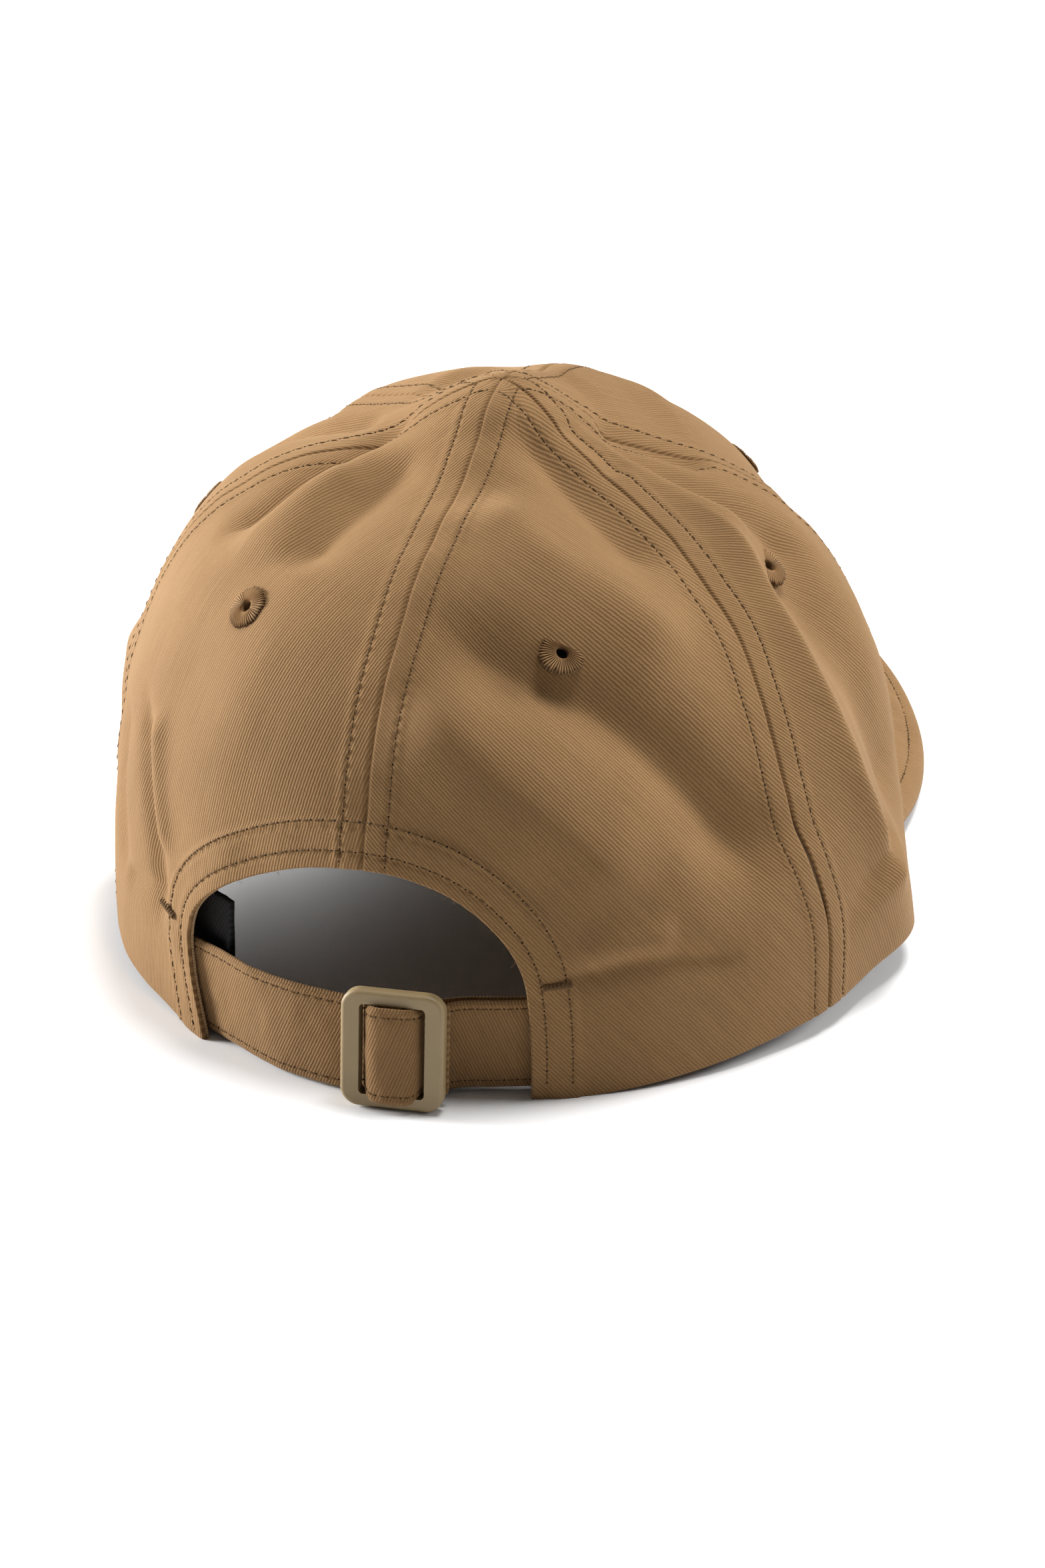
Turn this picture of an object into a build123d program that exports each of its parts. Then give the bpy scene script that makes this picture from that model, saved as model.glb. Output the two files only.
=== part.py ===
from build123d import *
from math import asin, cos, degrees, exp, radians, sin, sqrt, tan
import os

# Unstructured six-panel baseball cap, lying on its back hem and the sides of its curved visor.
# Millimetres. The origin is the centre of the head opening on the standing surface, +Z up,
# the visor points to -Y and the back opening to +Y. The wearer's right hand is at -X.

# Crown dome, turned about the vertical axis
CROWN_R = 95.5
SHOULDER_H = 113.0
SHOULDER_POWER = 2.8
PEAK_H = 15.0
PEAK_WIDTH = 24.0
PANEL_T = 1.0
WALL_BELOW = 6.0
PROFILE_STEPS = 14
PROFILE_CROWDING = 1.25
TANGENT_STEP = 0.2

# Crown seams, as angles about +Z from +X; the back seam is at 90 degrees
BACK = 90
SIDE_SEAM = 64
FRONT_SEAM = 122
HALF_TURN = 180

# Seam tapes inside the crown
TAPE_W = 14.0
TAPE_T = 0.8
TAPE_SECTOR = 56

# Rim: flat on the standing surface behind this line, rising gently forwards of it
HEM_FLAT_Y = 84.0
HEM_BULGE = 0.78

# Back arch
ARCH_FOOT_W = 36.0
ARCH_W = 39.0
ARCH_SPRING = 16.0
ARCH_RISE = 32.0
FACING_W = 10.0
FACING_T = 0.8
FACING_HALF_ANGLE = 40

# Visor: a plate rolled about a forward-sloping axis
VISOR_HALF_W = 82.0
VISOR_REACH = 165.0
VISOR_WIDEST_Y = -62.0
VISOR_POWER = 2.35
VISOR_TAIL = (78.5, -38.0)
VISOR_INNER_R = 90.4
VISOR_ROLL_R = 130.0
VISOR_SLOPE = 6.0
VISOR_ROOT_Z = 33.1
COVER_T = 0.9
BOARD_T = 2.0
COVER_EDGE_W = 1.6
VISOR_T = 2 * COVER_T + BOARD_T
BOARD_MIDDLE = VISOR_T / 2
FRONT_STEPS = 12

# Sweatband
BAND_H = 32.0
BAND_T = 1.5
BAND_INSET = 5.5
BAND_END = 23

# Adjuster strap, keeper tab and buckle
STRAP_H = 20.0
STRAP_Z = 11.4
STRAP_T = 1.2
STRAP_OUTER_R = 92.0
EDGE_ROUND = 0.45
STRAP_LEFT_END = 34
STRAP_RIGHT_END = 32
TAB_OUTER_R = 93.2
TAB_T = 1.1
TAB_END = 44
BUCKLE_ANGLE = 5.2
BUCKLE_W = 22.3
BUCKLE_H = 26.0
BUCKLE_T = 3.5
BUCKLE_CORNER_R = 4.0
BUCKLE_EDGE_R = 0.9
BUCKLE_INNER_R = 99.0
BUCKLE_Z = 13.2
BUCKLE_LEAN = 6.0
BAR_W = 3.0
BAR_T = 2.4
SLOT_W = 5.6
SLOT_H = 20.2
SLOT_CORNER_R = 1.0
LOOP_T = 1.1
LOOP_H = 18.4
NECK_H = 17.6
HUMP_H = 19.0
HUMP_Z = 12.9
HUMP_REACH = 10.6
HUMP_FOOT = 6.0
HUMP_TOP = 5.0
HUMP_RISE = 3.1
HUMP_FOLD_R = 1.6

# Embroidered eyelets and bartacks
EYELET_R = 5.0
EYELET_HOLE_R = 1.4
EYELET_NECK_R = 1.95
EYELET_GAP = 0.3
EYELET_PROUD = 0.6
PUNCH_R = 2.0
EYELET_T = 44.0
BARTACK_L = 6.0
BARTACK_W = 1.6
BARTACK_T = 0.7
BARTACK_FROM_EDGE = 5.75
BARTACK_Z = 23.0

TALL = 200.0
os.makedirs("parts", exist_ok=True)


def dome_point(t, inset=0.0):
    """Point (radius, height) of the crown at parameter t in degrees, moved inwards by inset."""
    def outer(angle):
        a = radians(min(max(angle, 0.0), 90.0))
        r = CROWN_R * max(cos(a), 0.0) ** (2 / SHOULDER_POWER)
        z = SHOULDER_H * sin(a) ** (2 / SHOULDER_POWER) + PEAK_H * exp(-(r / PEAK_WIDTH) ** 2)
        return Vector(r, z)
    here = outer(t)
    if t <= 0:
        normal = Vector(1, 0)
    elif t >= 90:
        normal = Vector(0, 1)
    else:
        along = outer(t + TANGENT_STEP) - outer(t - TANGENT_STEP)
        normal = Vector(along.Y, -along.X).normalized()
    return here - normal * inset


def visor_top(x, y):
    """Height of the visor's upper surface above the point x, y."""
    sag = (VISOR_ROLL_R - sqrt(VISOR_ROLL_R**2 - x**2)) / cos(radians(VISOR_SLOPE))
    return VISOR_ROOT_Z - sag + tan(radians(VISOR_SLOPE)) * (y + CROWN_R)


def polar(radius, angle, z=0.0):
    """Point at an angle in degrees about the crown's axis."""
    return Vector(radius * cos(radians(angle)), radius * sin(radians(angle)), z)


def meridian_plane(angle):
    """Upright plane through the crown's axis, its x direction at the given angle."""
    return Plane(origin=(0, 0, 0), x_dir=polar(1, angle), z_dir=polar(1, angle - 90))


def outward_plane(radius, angle, z, lean=0.0):
    """Plane on the crown, x along the rim, y up, facing outwards and leaning up by lean degrees."""
    out = polar(cos(radians(lean)), angle) + Vector(0, 0, sin(radians(lean)))
    return Plane(origin=polar(radius, angle, z), x_dir=polar(1, angle + 90), z_dir=out)


def dome_section(outer_inset, inner_inset):
    """Half section of one layer of the crown, x outwards and y up."""
    steps = [90.0 * (i / PROFILE_STEPS) ** PROFILE_CROWDING for i in range(PROFILE_STEPS + 1)]
    outside = [dome_point(t, outer_inset) for t in steps]
    inside = [dome_point(t, inner_inset) for t in steps]
    drop = Vector(0, WALL_BELOW)
    with BuildSketch() as section:
        with BuildLine():
            Spline(*outside, tangents=((0, 1), (-1, 0)))
            Line(outside[-1], inside[-1])
            Spline(*inside, tangents=((0, 1), (-1, 0)))
            Polyline(inside[0], inside[0] - drop, outside[0] - drop, outside[0])
        make_face()
    return section.sketch_local


def arch_outline(margin=0.0):
    """Outline of the back arch grown by margin."""
    foot = Vector(ARCH_FOOT_W + margin, -WALL_BELOW * 2)
    spring = Vector(ARCH_W + margin, ARCH_SPRING)
    with BuildSketch() as outline:
        with BuildLine():
            Line(foot, spring)
            EllipticalCenterArc((0, ARCH_SPRING), spring.X, ARCH_RISE + margin, arc_size=HALF_TURN)
            Polyline((-spring.X, spring.Y), (-foot.X, foot.Y), foot)
        make_face()
    return outline.sketch_local


def arch_prism(margin=0.0):
    """Solid that fills the back arch from the crown's axis outwards."""
    with BuildPart() as prism:
        with BuildSketch(Plane.XZ):
            add(arch_outline(margin))
        extrude(amount=-TALL)
    return prism.part


def below_rim(drop=0.0):
    """Solid below the rim line: a gentle rise from the back hem, then the top of the visor less drop."""
    join_x = CROWN_R * sin(radians(HALF_TURN - FRONT_SEAM))
    join_y = -CROWN_R * cos(radians(HALF_TURN - FRONT_SEAM))
    join_z = visor_top(join_x, join_y)
    back = Vector(HEM_FLAT_Y, 0)
    middle = Vector((HEM_FLAT_Y + join_y) / 2, join_z * HEM_BULGE)
    with BuildPart() as lower:
        with BuildSketch(Plane.YZ):
            with BuildLine():
                ThreePointArc(back, middle, (join_y, join_z))
                Polyline((join_y, join_z), (join_y, -TALL), (TALL, -TALL), (TALL, 0), back)
            make_face()
        extrude(amount=TALL, both=True)
        with BuildSketch(Plane.XZ.offset(-join_y)):
            with Locations((0, -TALL / 2)):
                Rectangle(2 * TALL, TALL)
        extrude(amount=TALL)
        with BuildSketch(visor_plane):
            with Locations((0, -VISOR_ROLL_R)):
                Circle(VISOR_ROLL_R - drop)
        extrude(amount=TALL)
        with BuildSketch(visor_plane):
            with Locations((0, -VISOR_ROLL_R)):
                Circle(VISOR_ROLL_R - drop)
        extrude(amount=-(CROWN_R + join_y))
    return lower.part


def save(part, name):
    """Label a finished piece and write its file."""
    part.label = name
    export_step(part, f"parts/{name}.step")


visor_plane = Plane(
    origin=(0, -CROWN_R, VISOR_ROOT_Z),
    x_dir=(1, 0, 0),
    z_dir=(0, -cos(radians(VISOR_SLOPE)), -sin(radians(VISOR_SLOPE))),
)
rim_cut = below_rim()
arch_cut = arch_prism()

panels = {
    "panel_back_right": (BACK, SIDE_SEAM),
    "panel_side_right": (BACK + SIDE_SEAM, FRONT_SEAM - SIDE_SEAM),
    "panel_front_right": (BACK + FRONT_SEAM, HALF_TURN - FRONT_SEAM),
    "panel_front_left": (BACK + HALF_TURN, HALF_TURN - FRONT_SEAM),
    "panel_side_left": (BACK - FRONT_SEAM, FRONT_SEAM - SIDE_SEAM),
    "panel_back_left": (BACK - SIDE_SEAM, SIDE_SEAM),
}


def eyelet_plane(start, sweep):
    """Plane on the crown at the eyelet of the panel that begins at start."""
    spot = dome_point(EYELET_T)
    deeper = dome_point(EYELET_T, 1.0)
    angle = start + sweep / 2
    out = polar(spot.X - deeper.X, angle) + Vector(0, 0, spot.Y - deeper.Y)
    return Plane(origin=polar(spot.X, angle, spot.Y), x_dir=polar(1, angle + 90), z_dir=out)


# Crown panels, each with its punched eyelet hole, cut to the rim and the arch
for panel_name, (start, sweep) in panels.items():
    with BuildPart() as panel:
        with BuildSketch(meridian_plane(start)):
            add(dome_section(0, PANEL_T))
        revolve(axis=Axis.Z, revolution_arc=sweep)
        add(rim_cut, mode=Mode.SUBTRACT)
        if "back" in panel_name:
            add(arch_cut, mode=Mode.SUBTRACT)
        with BuildSketch(eyelet_plane(start, sweep)):
            Circle(PUNCH_R)
        extrude(amount=PANEL_T * 3, both=True, mode=Mode.SUBTRACT)
    save(panel.part, panel_name)

# Embroidered eyelets: a neck through the cloth with a flange of thread on each side
for panel_name, (start, sweep) in panels.items():
    face = eyelet_plane(start, sweep)
    section_plane = Plane(origin=face.origin, x_dir=face.x_dir, z_dir=-face.y_dir)
    with BuildPart() as eyelet:
        with BuildSketch(section_plane):
            with BuildLine():
                top = EYELET_GAP + EYELET_PROUD
                bottom = -PANEL_T - EYELET_GAP - EYELET_PROUD
                Polyline(
                    (EYELET_HOLE_R, bottom),
                    (EYELET_R - EYELET_GAP, bottom),
                    (EYELET_R, bottom + EYELET_PROUD),
                    (EYELET_NECK_R, bottom + EYELET_PROUD),
                    (EYELET_NECK_R, EYELET_GAP),
                    (EYELET_R, EYELET_GAP),
                    (EYELET_R - EYELET_GAP, top),
                    (EYELET_HOLE_R, top),
                    close=True,
                )
            make_face()
        revolve(axis=Axis(face.origin, face.z_dir), revolution_arc=360)
    save(eyelet.part, panel_name.replace("panel", "eyelet"))

# Seam tapes inside the crown, one under each seam, meeting at the apex
tapes = {
    "seam_tape_back": BACK,
    "seam_tape_rear_right": BACK + SIDE_SEAM,
    "seam_tape_fore_right": BACK + FRONT_SEAM,
    "seam_tape_front": BACK + HALF_TURN,
    "seam_tape_fore_left": BACK - FRONT_SEAM,
    "seam_tape_rear_left": BACK - SIDE_SEAM,
}
facing_zone = arch_prism(FACING_W)
for tape_name, angle in tapes.items():
    with BuildPart() as tape:
        with BuildSketch(meridian_plane(angle - TAPE_SECTOR / 2)):
            add(dome_section(PANEL_T, PANEL_T + TAPE_T))
        revolve(axis=Axis.Z, revolution_arc=TAPE_SECTOR)
        with BuildSketch(Plane(origin=(0, 0, -WALL_BELOW * 2), x_dir=polar(1, angle), z_dir=(0, 0, 1))):
            Rectangle(TALL, TAPE_W, align=(Align.MIN, Align.CENTER))
        extrude(amount=TALL, mode=Mode.INTERSECT)
        add(rim_cut, mode=Mode.SUBTRACT)
        if tape_name == "seam_tape_back":
            add(facing_zone, mode=Mode.SUBTRACT)
    save(tape.part, tape_name)

# Facing behind the turned edge of the arch
with BuildPart() as arch_facing:
    with BuildSketch(meridian_plane(BACK - FACING_HALF_ANGLE)):
        add(dome_section(PANEL_T, PANEL_T + FACING_T))
    revolve(axis=Axis.Z, revolution_arc=2 * FACING_HALF_ANGLE)
    add(facing_zone, mode=Mode.INTERSECT)
    add(arch_cut, mode=Mode.SUBTRACT)
    add(rim_cut, mode=Mode.SUBTRACT)
save(arch_facing.part, "arch_facing")

# Sweatband: follows the crown inside, from one side of the arch round the front to the other
band_floor = below_rim(VISOR_T)
with BuildPart() as sweatband:
    with BuildSketch(meridian_plane(BACK + BAND_END)):
        add(dome_section(BAND_INSET, BAND_INSET + BAND_T))
    revolve(axis=Axis.Z, revolution_arc=2 * (HALF_TURN - BAND_END))
    add(band_floor, mode=Mode.SUBTRACT)
    add(Pos(0, 0, BAND_H) * rim_cut, mode=Mode.INTERSECT)
save(sweatband.part, "sweatband")


def visor_outline(inset=0.0):
    """Plan of the visor: a blunt rounded front and straight tails that run in under the crown."""
    half_w = VISOR_HALF_W - inset
    reach = VISOR_REACH + VISOR_WIDEST_Y - inset
    front = []
    for step in range(FRONT_STEPS + 1):
        turn = radians(HALF_TURN / FRONT_STEPS * step)
        x = half_w * abs(cos(turn)) ** (2 / VISOR_POWER)
        y = VISOR_WIDEST_Y - reach * abs(sin(turn)) ** (2 / VISOR_POWER)
        front.append((x if step < FRONT_STEPS / 2 else -x, y))
    tail = (VISOR_TAIL[0] - inset, VISOR_TAIL[1])
    with BuildSketch() as outline:
        with BuildLine():
            Spline(*front, tangents=((0, -1), (0, 1)))
            Polyline(front[-1], (-tail[0], tail[1]), tail, front[0])
        make_face()
    return outline.sketch_local


def visor_layer(upper, lower, inset=0.0, hollow=0.0):
    """Layer of the visor between two depths below its top, optionally only an edge hollow wide."""
    with BuildPart() as layer:
        with BuildSketch(visor_plane):
            with Locations((0, -VISOR_ROLL_R)):
                Circle(VISOR_ROLL_R - upper)
                Circle(VISOR_ROLL_R - lower, mode=Mode.SUBTRACT)
        extrude(amount=VISOR_HALF_W, both=True)
        with BuildSketch(Plane.XY.offset(-WALL_BELOW)):
            add(visor_outline(inset))
            if hollow:
                add(visor_outline(hollow), mode=Mode.SUBTRACT)
            Circle(VISOR_INNER_R, mode=Mode.SUBTRACT)
        extrude(amount=VISOR_ROOT_Z * 2, mode=Mode.INTERSECT)
    return layer.part


# Visor: stiff board between two twill covers that meet round its edge
with BuildPart() as visor_board:
    add(visor_layer(COVER_T, COVER_T + BOARD_T, inset=COVER_EDGE_W))
save(visor_board.part, "visor_board")

with BuildPart() as visor_top_cover:
    add(visor_layer(0, COVER_T))
    add(visor_layer(COVER_T, BOARD_MIDDLE, hollow=COVER_EDGE_W))
save(visor_top_cover.part, "visor_top_cover")

with BuildPart() as visor_under_cover:
    add(visor_layer(COVER_T + BOARD_T, VISOR_T))
    add(visor_layer(BOARD_MIDDLE, COVER_T + BOARD_T, hollow=COVER_EDGE_W))
save(visor_under_cover.part, "visor_under_cover")

# Adjuster strap: one band across the arch, both ends tucked inside the crown
with BuildPart() as adjust_strap:
    with BuildSketch(meridian_plane(BACK - STRAP_LEFT_END)):
        with Locations((STRAP_OUTER_R - STRAP_T / 2, STRAP_Z)):
            RectangleRounded(STRAP_T, STRAP_H, STRAP_T * EDGE_ROUND)
    revolve(axis=Axis.Z, revolution_arc=STRAP_LEFT_END + STRAP_RIGHT_END)
save(adjust_strap.part, "adjust_strap")

# Buckle: a rounded frame with a centre bar between two slots
bar_angle = BACK + BUCKLE_ANGLE
bar_radius = BUCKLE_INNER_R + BUCKLE_T / 2
buckle_plane = outward_plane(bar_radius, bar_angle, BUCKLE_Z, BUCKLE_LEAN)
with BuildPart() as tri_glide_buckle:
    with BuildSketch(buckle_plane.offset(-BUCKLE_T / 2)):
        RectangleRounded(BUCKLE_W, BUCKLE_H, BUCKLE_CORNER_R)
    extrude(amount=BUCKLE_T)
    fillet(tri_glide_buckle.edges(), BUCKLE_EDGE_R)
    with BuildSketch(buckle_plane.offset(-BUCKLE_T)):
        with Locations((-(BAR_W + SLOT_W) / 2, 0), ((BAR_W + SLOT_W) / 2, 0)):
            RectangleRounded(SLOT_W, SLOT_H, SLOT_CORNER_R)
    extrude(amount=2 * BUCKLE_T, mode=Mode.SUBTRACT)
    bar_spare = (BUCKLE_T - BAR_T) / 2
    with BuildSketch(buckle_plane.offset(BAR_T / 2), buckle_plane.offset(-BAR_T / 2 - bar_spare)):
        Rectangle(BAR_W, SLOT_H)
    extrude(amount=bar_spare, mode=Mode.SUBTRACT)
save(tri_glide_buckle.part, "tri_glide_buckle")

# Keeper tab: a short band from inside the crown to a loop closed round the buckle's bar
hump_drop = (BUCKLE_Z - HUMP_Z) / cos(radians(BUCKLE_LEAN))
loop_plane = Plane(origin=buckle_plane.origin, x_dir=buckle_plane.x_dir, z_dir=-buckle_plane.y_dir)
with BuildPart() as keeper_tab:
    with BuildSketch(meridian_plane(bar_angle)):
        with Locations((TAB_OUTER_R - TAB_T / 2, STRAP_Z)):
            Rectangle(TAB_T, STRAP_H)
    revolve(axis=Axis.Z, revolution_arc=TAB_END - BUCKLE_ANGLE)
    with BuildSketch(outward_plane(TAB_OUTER_R - TAB_T, bar_angle, HUMP_Z)):
        Rectangle(BAR_W, NECK_H)
    extrude(amount=bar_radius - TAB_OUTER_R)
    with BuildSketch(loop_plane.offset(hump_drop)):
        RectangleRounded(BAR_W + 2 * LOOP_T, BAR_T + 2 * LOOP_T, LOOP_T)
    extrude(amount=LOOP_H / 2, both=True)
    with BuildSketch(loop_plane):
        Rectangle(BAR_W, BAR_T)
    extrude(amount=BUCKLE_H, both=True, mode=Mode.SUBTRACT)
save(keeper_tab.part, "keeper_tab")

# Stretch of strap that humps over the buckle's bar and dives under the frame on both sides
with BuildPart() as strap_bridge:
    with BuildSketch(loop_plane.offset(hump_drop)):
        with BuildLine():
            under = -BUCKLE_T / 2 - STRAP_T / 2
            FilletPolyline(
                (-HUMP_REACH, under),
                (-HUMP_FOOT, under),
                (-HUMP_TOP, HUMP_RISE),
                (HUMP_TOP, HUMP_RISE),
                (HUMP_FOOT, under),
                (HUMP_REACH, under),
                radius=HUMP_FOLD_R,
            )
        trace(line_width=STRAP_T)
    extrude(amount=HUMP_H / 2, both=True)
save(strap_bridge.part, "strap_bridge")

# Bartacks that close the ends of the arch's stitch rows above the strap
half_open = ARCH_W + BARTACK_FROM_EDGE
for side, label in ((1, "bartack_right"), (-1, "bartack_left")):
    tack_angle = BACK + side * degrees(asin(half_open / CROWN_R))
    with BuildPart() as bartack:
        with BuildSketch(outward_plane(CROWN_R, tack_angle, BARTACK_Z)):
            RectangleRounded(BARTACK_L, BARTACK_W, BARTACK_W * EDGE_ROUND)
        extrude(amount=BARTACK_T)
    save(bartack.part, label)
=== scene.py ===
import math

import bpy
import numpy as np
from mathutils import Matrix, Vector


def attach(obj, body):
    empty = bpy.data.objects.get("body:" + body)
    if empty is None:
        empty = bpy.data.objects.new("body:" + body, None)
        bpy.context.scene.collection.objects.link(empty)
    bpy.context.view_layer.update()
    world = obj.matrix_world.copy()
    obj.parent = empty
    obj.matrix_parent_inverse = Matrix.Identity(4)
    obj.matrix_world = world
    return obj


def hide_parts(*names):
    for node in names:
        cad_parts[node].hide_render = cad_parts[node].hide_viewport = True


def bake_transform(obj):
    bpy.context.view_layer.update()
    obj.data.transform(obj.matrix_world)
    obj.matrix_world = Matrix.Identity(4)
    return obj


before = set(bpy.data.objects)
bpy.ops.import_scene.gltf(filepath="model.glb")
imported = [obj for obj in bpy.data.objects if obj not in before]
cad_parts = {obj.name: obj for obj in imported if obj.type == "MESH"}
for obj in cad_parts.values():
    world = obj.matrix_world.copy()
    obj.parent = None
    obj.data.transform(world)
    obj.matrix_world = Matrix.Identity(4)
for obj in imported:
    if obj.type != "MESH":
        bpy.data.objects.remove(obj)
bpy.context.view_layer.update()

# Lengths are in millimetres until a mesh is made. An angle on the crown is in degrees from the
# back seam, positive towards the wearer's right (-X). Height is above the standing surface.
MM = 0.001

# ---------------------------------------------------------------- crown shape
PEAK_TOP = 128.0
PEAK_WIDTH = 22.0
SHOULDER_POWER = [(-180, 3.1), (-110, 3.15), (-60, 3.05), (0, 3.05), (66, 2.32), (112, 2.75),
                  (180, 3.1)]
SHOULDER_TOP = [(-180, 120), (-120, 114.5), (-60, 113), (0, 112), (66, 112), (125, 111), (180, 120)]
PLAN_RADIUS = [(-180, 95.5), (-105, 90.0), (-68, 89.3), (-40, 91.5), (-20, 95.0), (0, 95.5),
               (66, 96.5), (90, 93.5), (118, 93.5), (180, 95.5)]

# Seams: the angle of each seam by height, because the cloth has slumped a little. The front seam is
# listed again at -180, where it closes the left front panel.
SEAMS = {
    "back": [(0, 0), (80, 0), (100, 0.5), (118, 1.5), (128, 0)],
    "rear_right": [(0, 66), (20, 66), (56, 62), (72, 62.5), (92, 65), (110, 69), (128, 66)],
    "fore_right": [(0, 122), (128, 122)],
    "front": [(0, 180), (128, 180)],
    "front_again": [(0, -180), (128, -180)],
    "fore_left": [(0, -122), (128, -122)],
    "rear_left": [(0, -68), (60, -70), (98, -75), (110, -75), (119, -71), (128, -66)],
}
SEAM_NAMES = ("back", "rear_right", "fore_right", "front", "fore_left", "rear_left")
SEAM_SPAN = 60.0
SEAM_ROW = 5.0
STITCH_PITCH = 2.8

# Rim: rises gently from the back hem to the ends of the visor
HEM_FLAT_Y = 84.0
RIM_JOIN_Y = -50.6
RIM_JOIN_Z = 9.4
RIM_BULGE = 2.1

# Visor
VISOR_ROLL_R = 130.0
VISOR_ROOT_Z = 33.1
VISOR_ROOT_Y = -95.5
VISOR_SLOPE = math.radians(6.0)
VISOR_HALF_W = 82.0
VISOR_REACH = 165.0
VISOR_WIDEST_Y = -62.0
VISOR_POWER = 2.35
VISOR_T = 3.8

# Back arch, from the wearer's left foot over the top to the right foot: (angle, height)
ARCH = [(-25, 0), (-26.5, 8), (-27.8, 16), (-28.2, 24), (-26, 32), (-19, 41), (-9, 48), (1, 50),
        (9, 47.5), (14.5, 42.5), (18.5, 36), (20.8, 29), (21.6, 22), (22, 12), (22, 0)]
ARCH_ROWS = (3.0, 8.5)
ARCH_LENGTH = 150.0

# Soft folds of the crown: (path of (angle, height), half width, rise in mm, crest power)
FOLDS = [
    ([(84, 107), (81, 98), (76, 87), (74.5, 72), (76, 52), (80, 34), (84, 18)], 7.0, 5.0, 1.25),
    ([(90, 100), (92, 82), (95, 62), (99, 40), (102, 22)], 13.0, -6.5, 2.0),
    ([(80, 34), (84, 20), (88, 10), (91, 2)], 13.0, 4.6, 2.0),
    ([(106, 122), (101, 115), (97, 107), (99, 97), (104, 86)], 6.0, -3.6, 1.7),
    ([(92, 120), (88, 112), (87, 104), (89, 96)], 5.0, 2.2, 1.7),
    ([(80, 122), (80, 116), (79, 110)], 4.0, -1.6, 2.0),
    ([(27, 124), (44, 116), (52, 106), (56, 97)], 6.0, -3.2, 1.6),
    ([(0, 98), (9, 96), (20, 89), (33, 81), (44, 67), (52, 49), (57, 34)], 9.5, -6.2, 1.7),
    ([(3, 87), (8, 81), (20, 67), (31, 53), (38, 42)], 9.5, 3.2, 1.8),
    ([(10, 113), (24, 107), (40, 98), (54, 84)], 9.0, 3.0, 1.8),
    ([(-84, 121), (-73, 116), (-61, 111), (-56, 104), (-56, 96)], 4.8, -4.0, 1.4),
    ([(-66, 116), (-50, 112), (-44, 105), (-42, 96)], 5.0, 1.6, 1.8),
    ([(-33, 118), (-27, 109), (-25, 99)], 6.0, -2.6, 1.6),
    ([(-46, 113), (-38, 105), (-34, 98)], 6.0, 1.8, 2.0),
    ([(-50, 70), (-43, 52), (-38, 36), (-37, 16)], 3.4, -2.0, 1.8),
    ([(-43, 68), (-38, 50), (-34, 36)], 3.2, 1.6, 2.0),
    ([(-60, 62), (-55, 40), (-50, 20)], 5.0, -1.8, 2.0),
    ([(24, 26), (30, 28), (37, 29), (45, 27), (52, 24)], 3.0, -1.7, 1.6),
    ([(27, 32), (34, 34), (42, 34)], 4.0, 1.3, 2.0),
    ([(-36, 30), (-42, 27), (-50, 24)], 3.0, -1.4, 1.6),
    ([(-150, 118), (-138, 112), (-128, 104)], 14.0, 3.2, 2.0),
    ([(170, 121), (166, 115), (160, 107)], 14.0, 1.4, 2.0),
    ([(-98, 116), (-100, 108), (-102, 98)], 4.5, -3.0, 1.8),
    ([(122, 118), (119, 112), (116, 104)], 4.5, -3.0, 1.8),
    ([(150, 112), (152, 92), (155, 70)], 12.0, 2.2, 2.0),
    ([(-165, 100), (-160, 80), (-158, 60)], 11.0, -2.2, 2.0),
    ([(135, 96), (132, 78), (134, 60)], 9.0, -2.4, 2.0),
    ([(-90, 80), (-95, 60), (-92, 40)], 9.0, -2.6, 2.0),
    ([(-78, 70), (-80, 50), (-84, 30)], 7.0, 2.0, 2.0),
]
FOLD_FADE = 0.22
FOLD_RIM_Z = 7

# Relief of the sewn cloth, in millimetres: depths, rises and half widths
CLOTH_T = 1.0
ALLOWANCE_RISE = 0.26
FACING_RISE = 0.45
DITCH_DEPTH = 0.60
DITCH_HALF = 0.42
GROOVE_DEPTH = 0.34
SEAM_GROOVE_HALF = 0.55
ARCH_GROOVE_HALF = 0.6

UP = np.array([0, 0, 1.0])


def ease(where, keys):
    """Value at where, eased between the keys (place, value)."""
    where = np.asarray(where, float)
    value = np.full(where.shape, float(keys[0][1]))
    for (x0, y0), (x1, y1) in zip(keys[:-1], keys[1:]):
        part = np.clip((where - x0) / (x1 - x0), 0, 1)
        blend = (1 - np.cos(np.pi * part)) / 2
        value = np.where(where >= x0, y0 + (y1 - y0) * blend, value)
    return value


def glide(where, keys, spread=1.5):
    """Value at where on the polyline of keys, its corners rounded by averaging over a spread."""
    places, values = zip(*keys)
    near = np.linspace(-spread, spread, 9)
    return np.mean([np.interp(where + shift, places, values) for shift in near], axis=0)


def smoothstep(edge0, edge1, x):
    """0 before edge0, 1 after edge1, smooth between them."""
    t = np.clip((x - edge0) / (edge1 - edge0), 0, 1)
    return t * t * (3 - 2 * t)


def soft_noise(points, scale, seed=0.0):
    """Smooth value noise from -1 to 1 over points in millimetres."""
    cell = np.asarray(points, float) / scale
    corner = np.floor(cell)
    part = cell - corner
    part = part * part * (3 - 2 * part)
    total = np.zeros(cell.shape[:-1])
    for dx in (0, 1):
        for dy in (0, 1):
            for dz in (0, 1):
                at = corner + (dx, dy, dz)
                mixed = np.sin(at @ np.array([12.9898, 78.233, 37.719]) + seed) * 43758.5453
                weight = np.ones(total.shape)
                for axis, step in enumerate((dx, dy, dz)):
                    weight = weight * (part[..., axis] if step else 1 - part[..., axis])
                total = total + weight * (mixed - np.floor(mixed))
    return total * 2 - 1


def ripple(first, second, seed, scale=1.0):
    """Smooth value noise over two coordinates."""
    return soft_noise(np.stack(np.broadcast_arrays(first, second, 0.0), -1), scale, seed)


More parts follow.
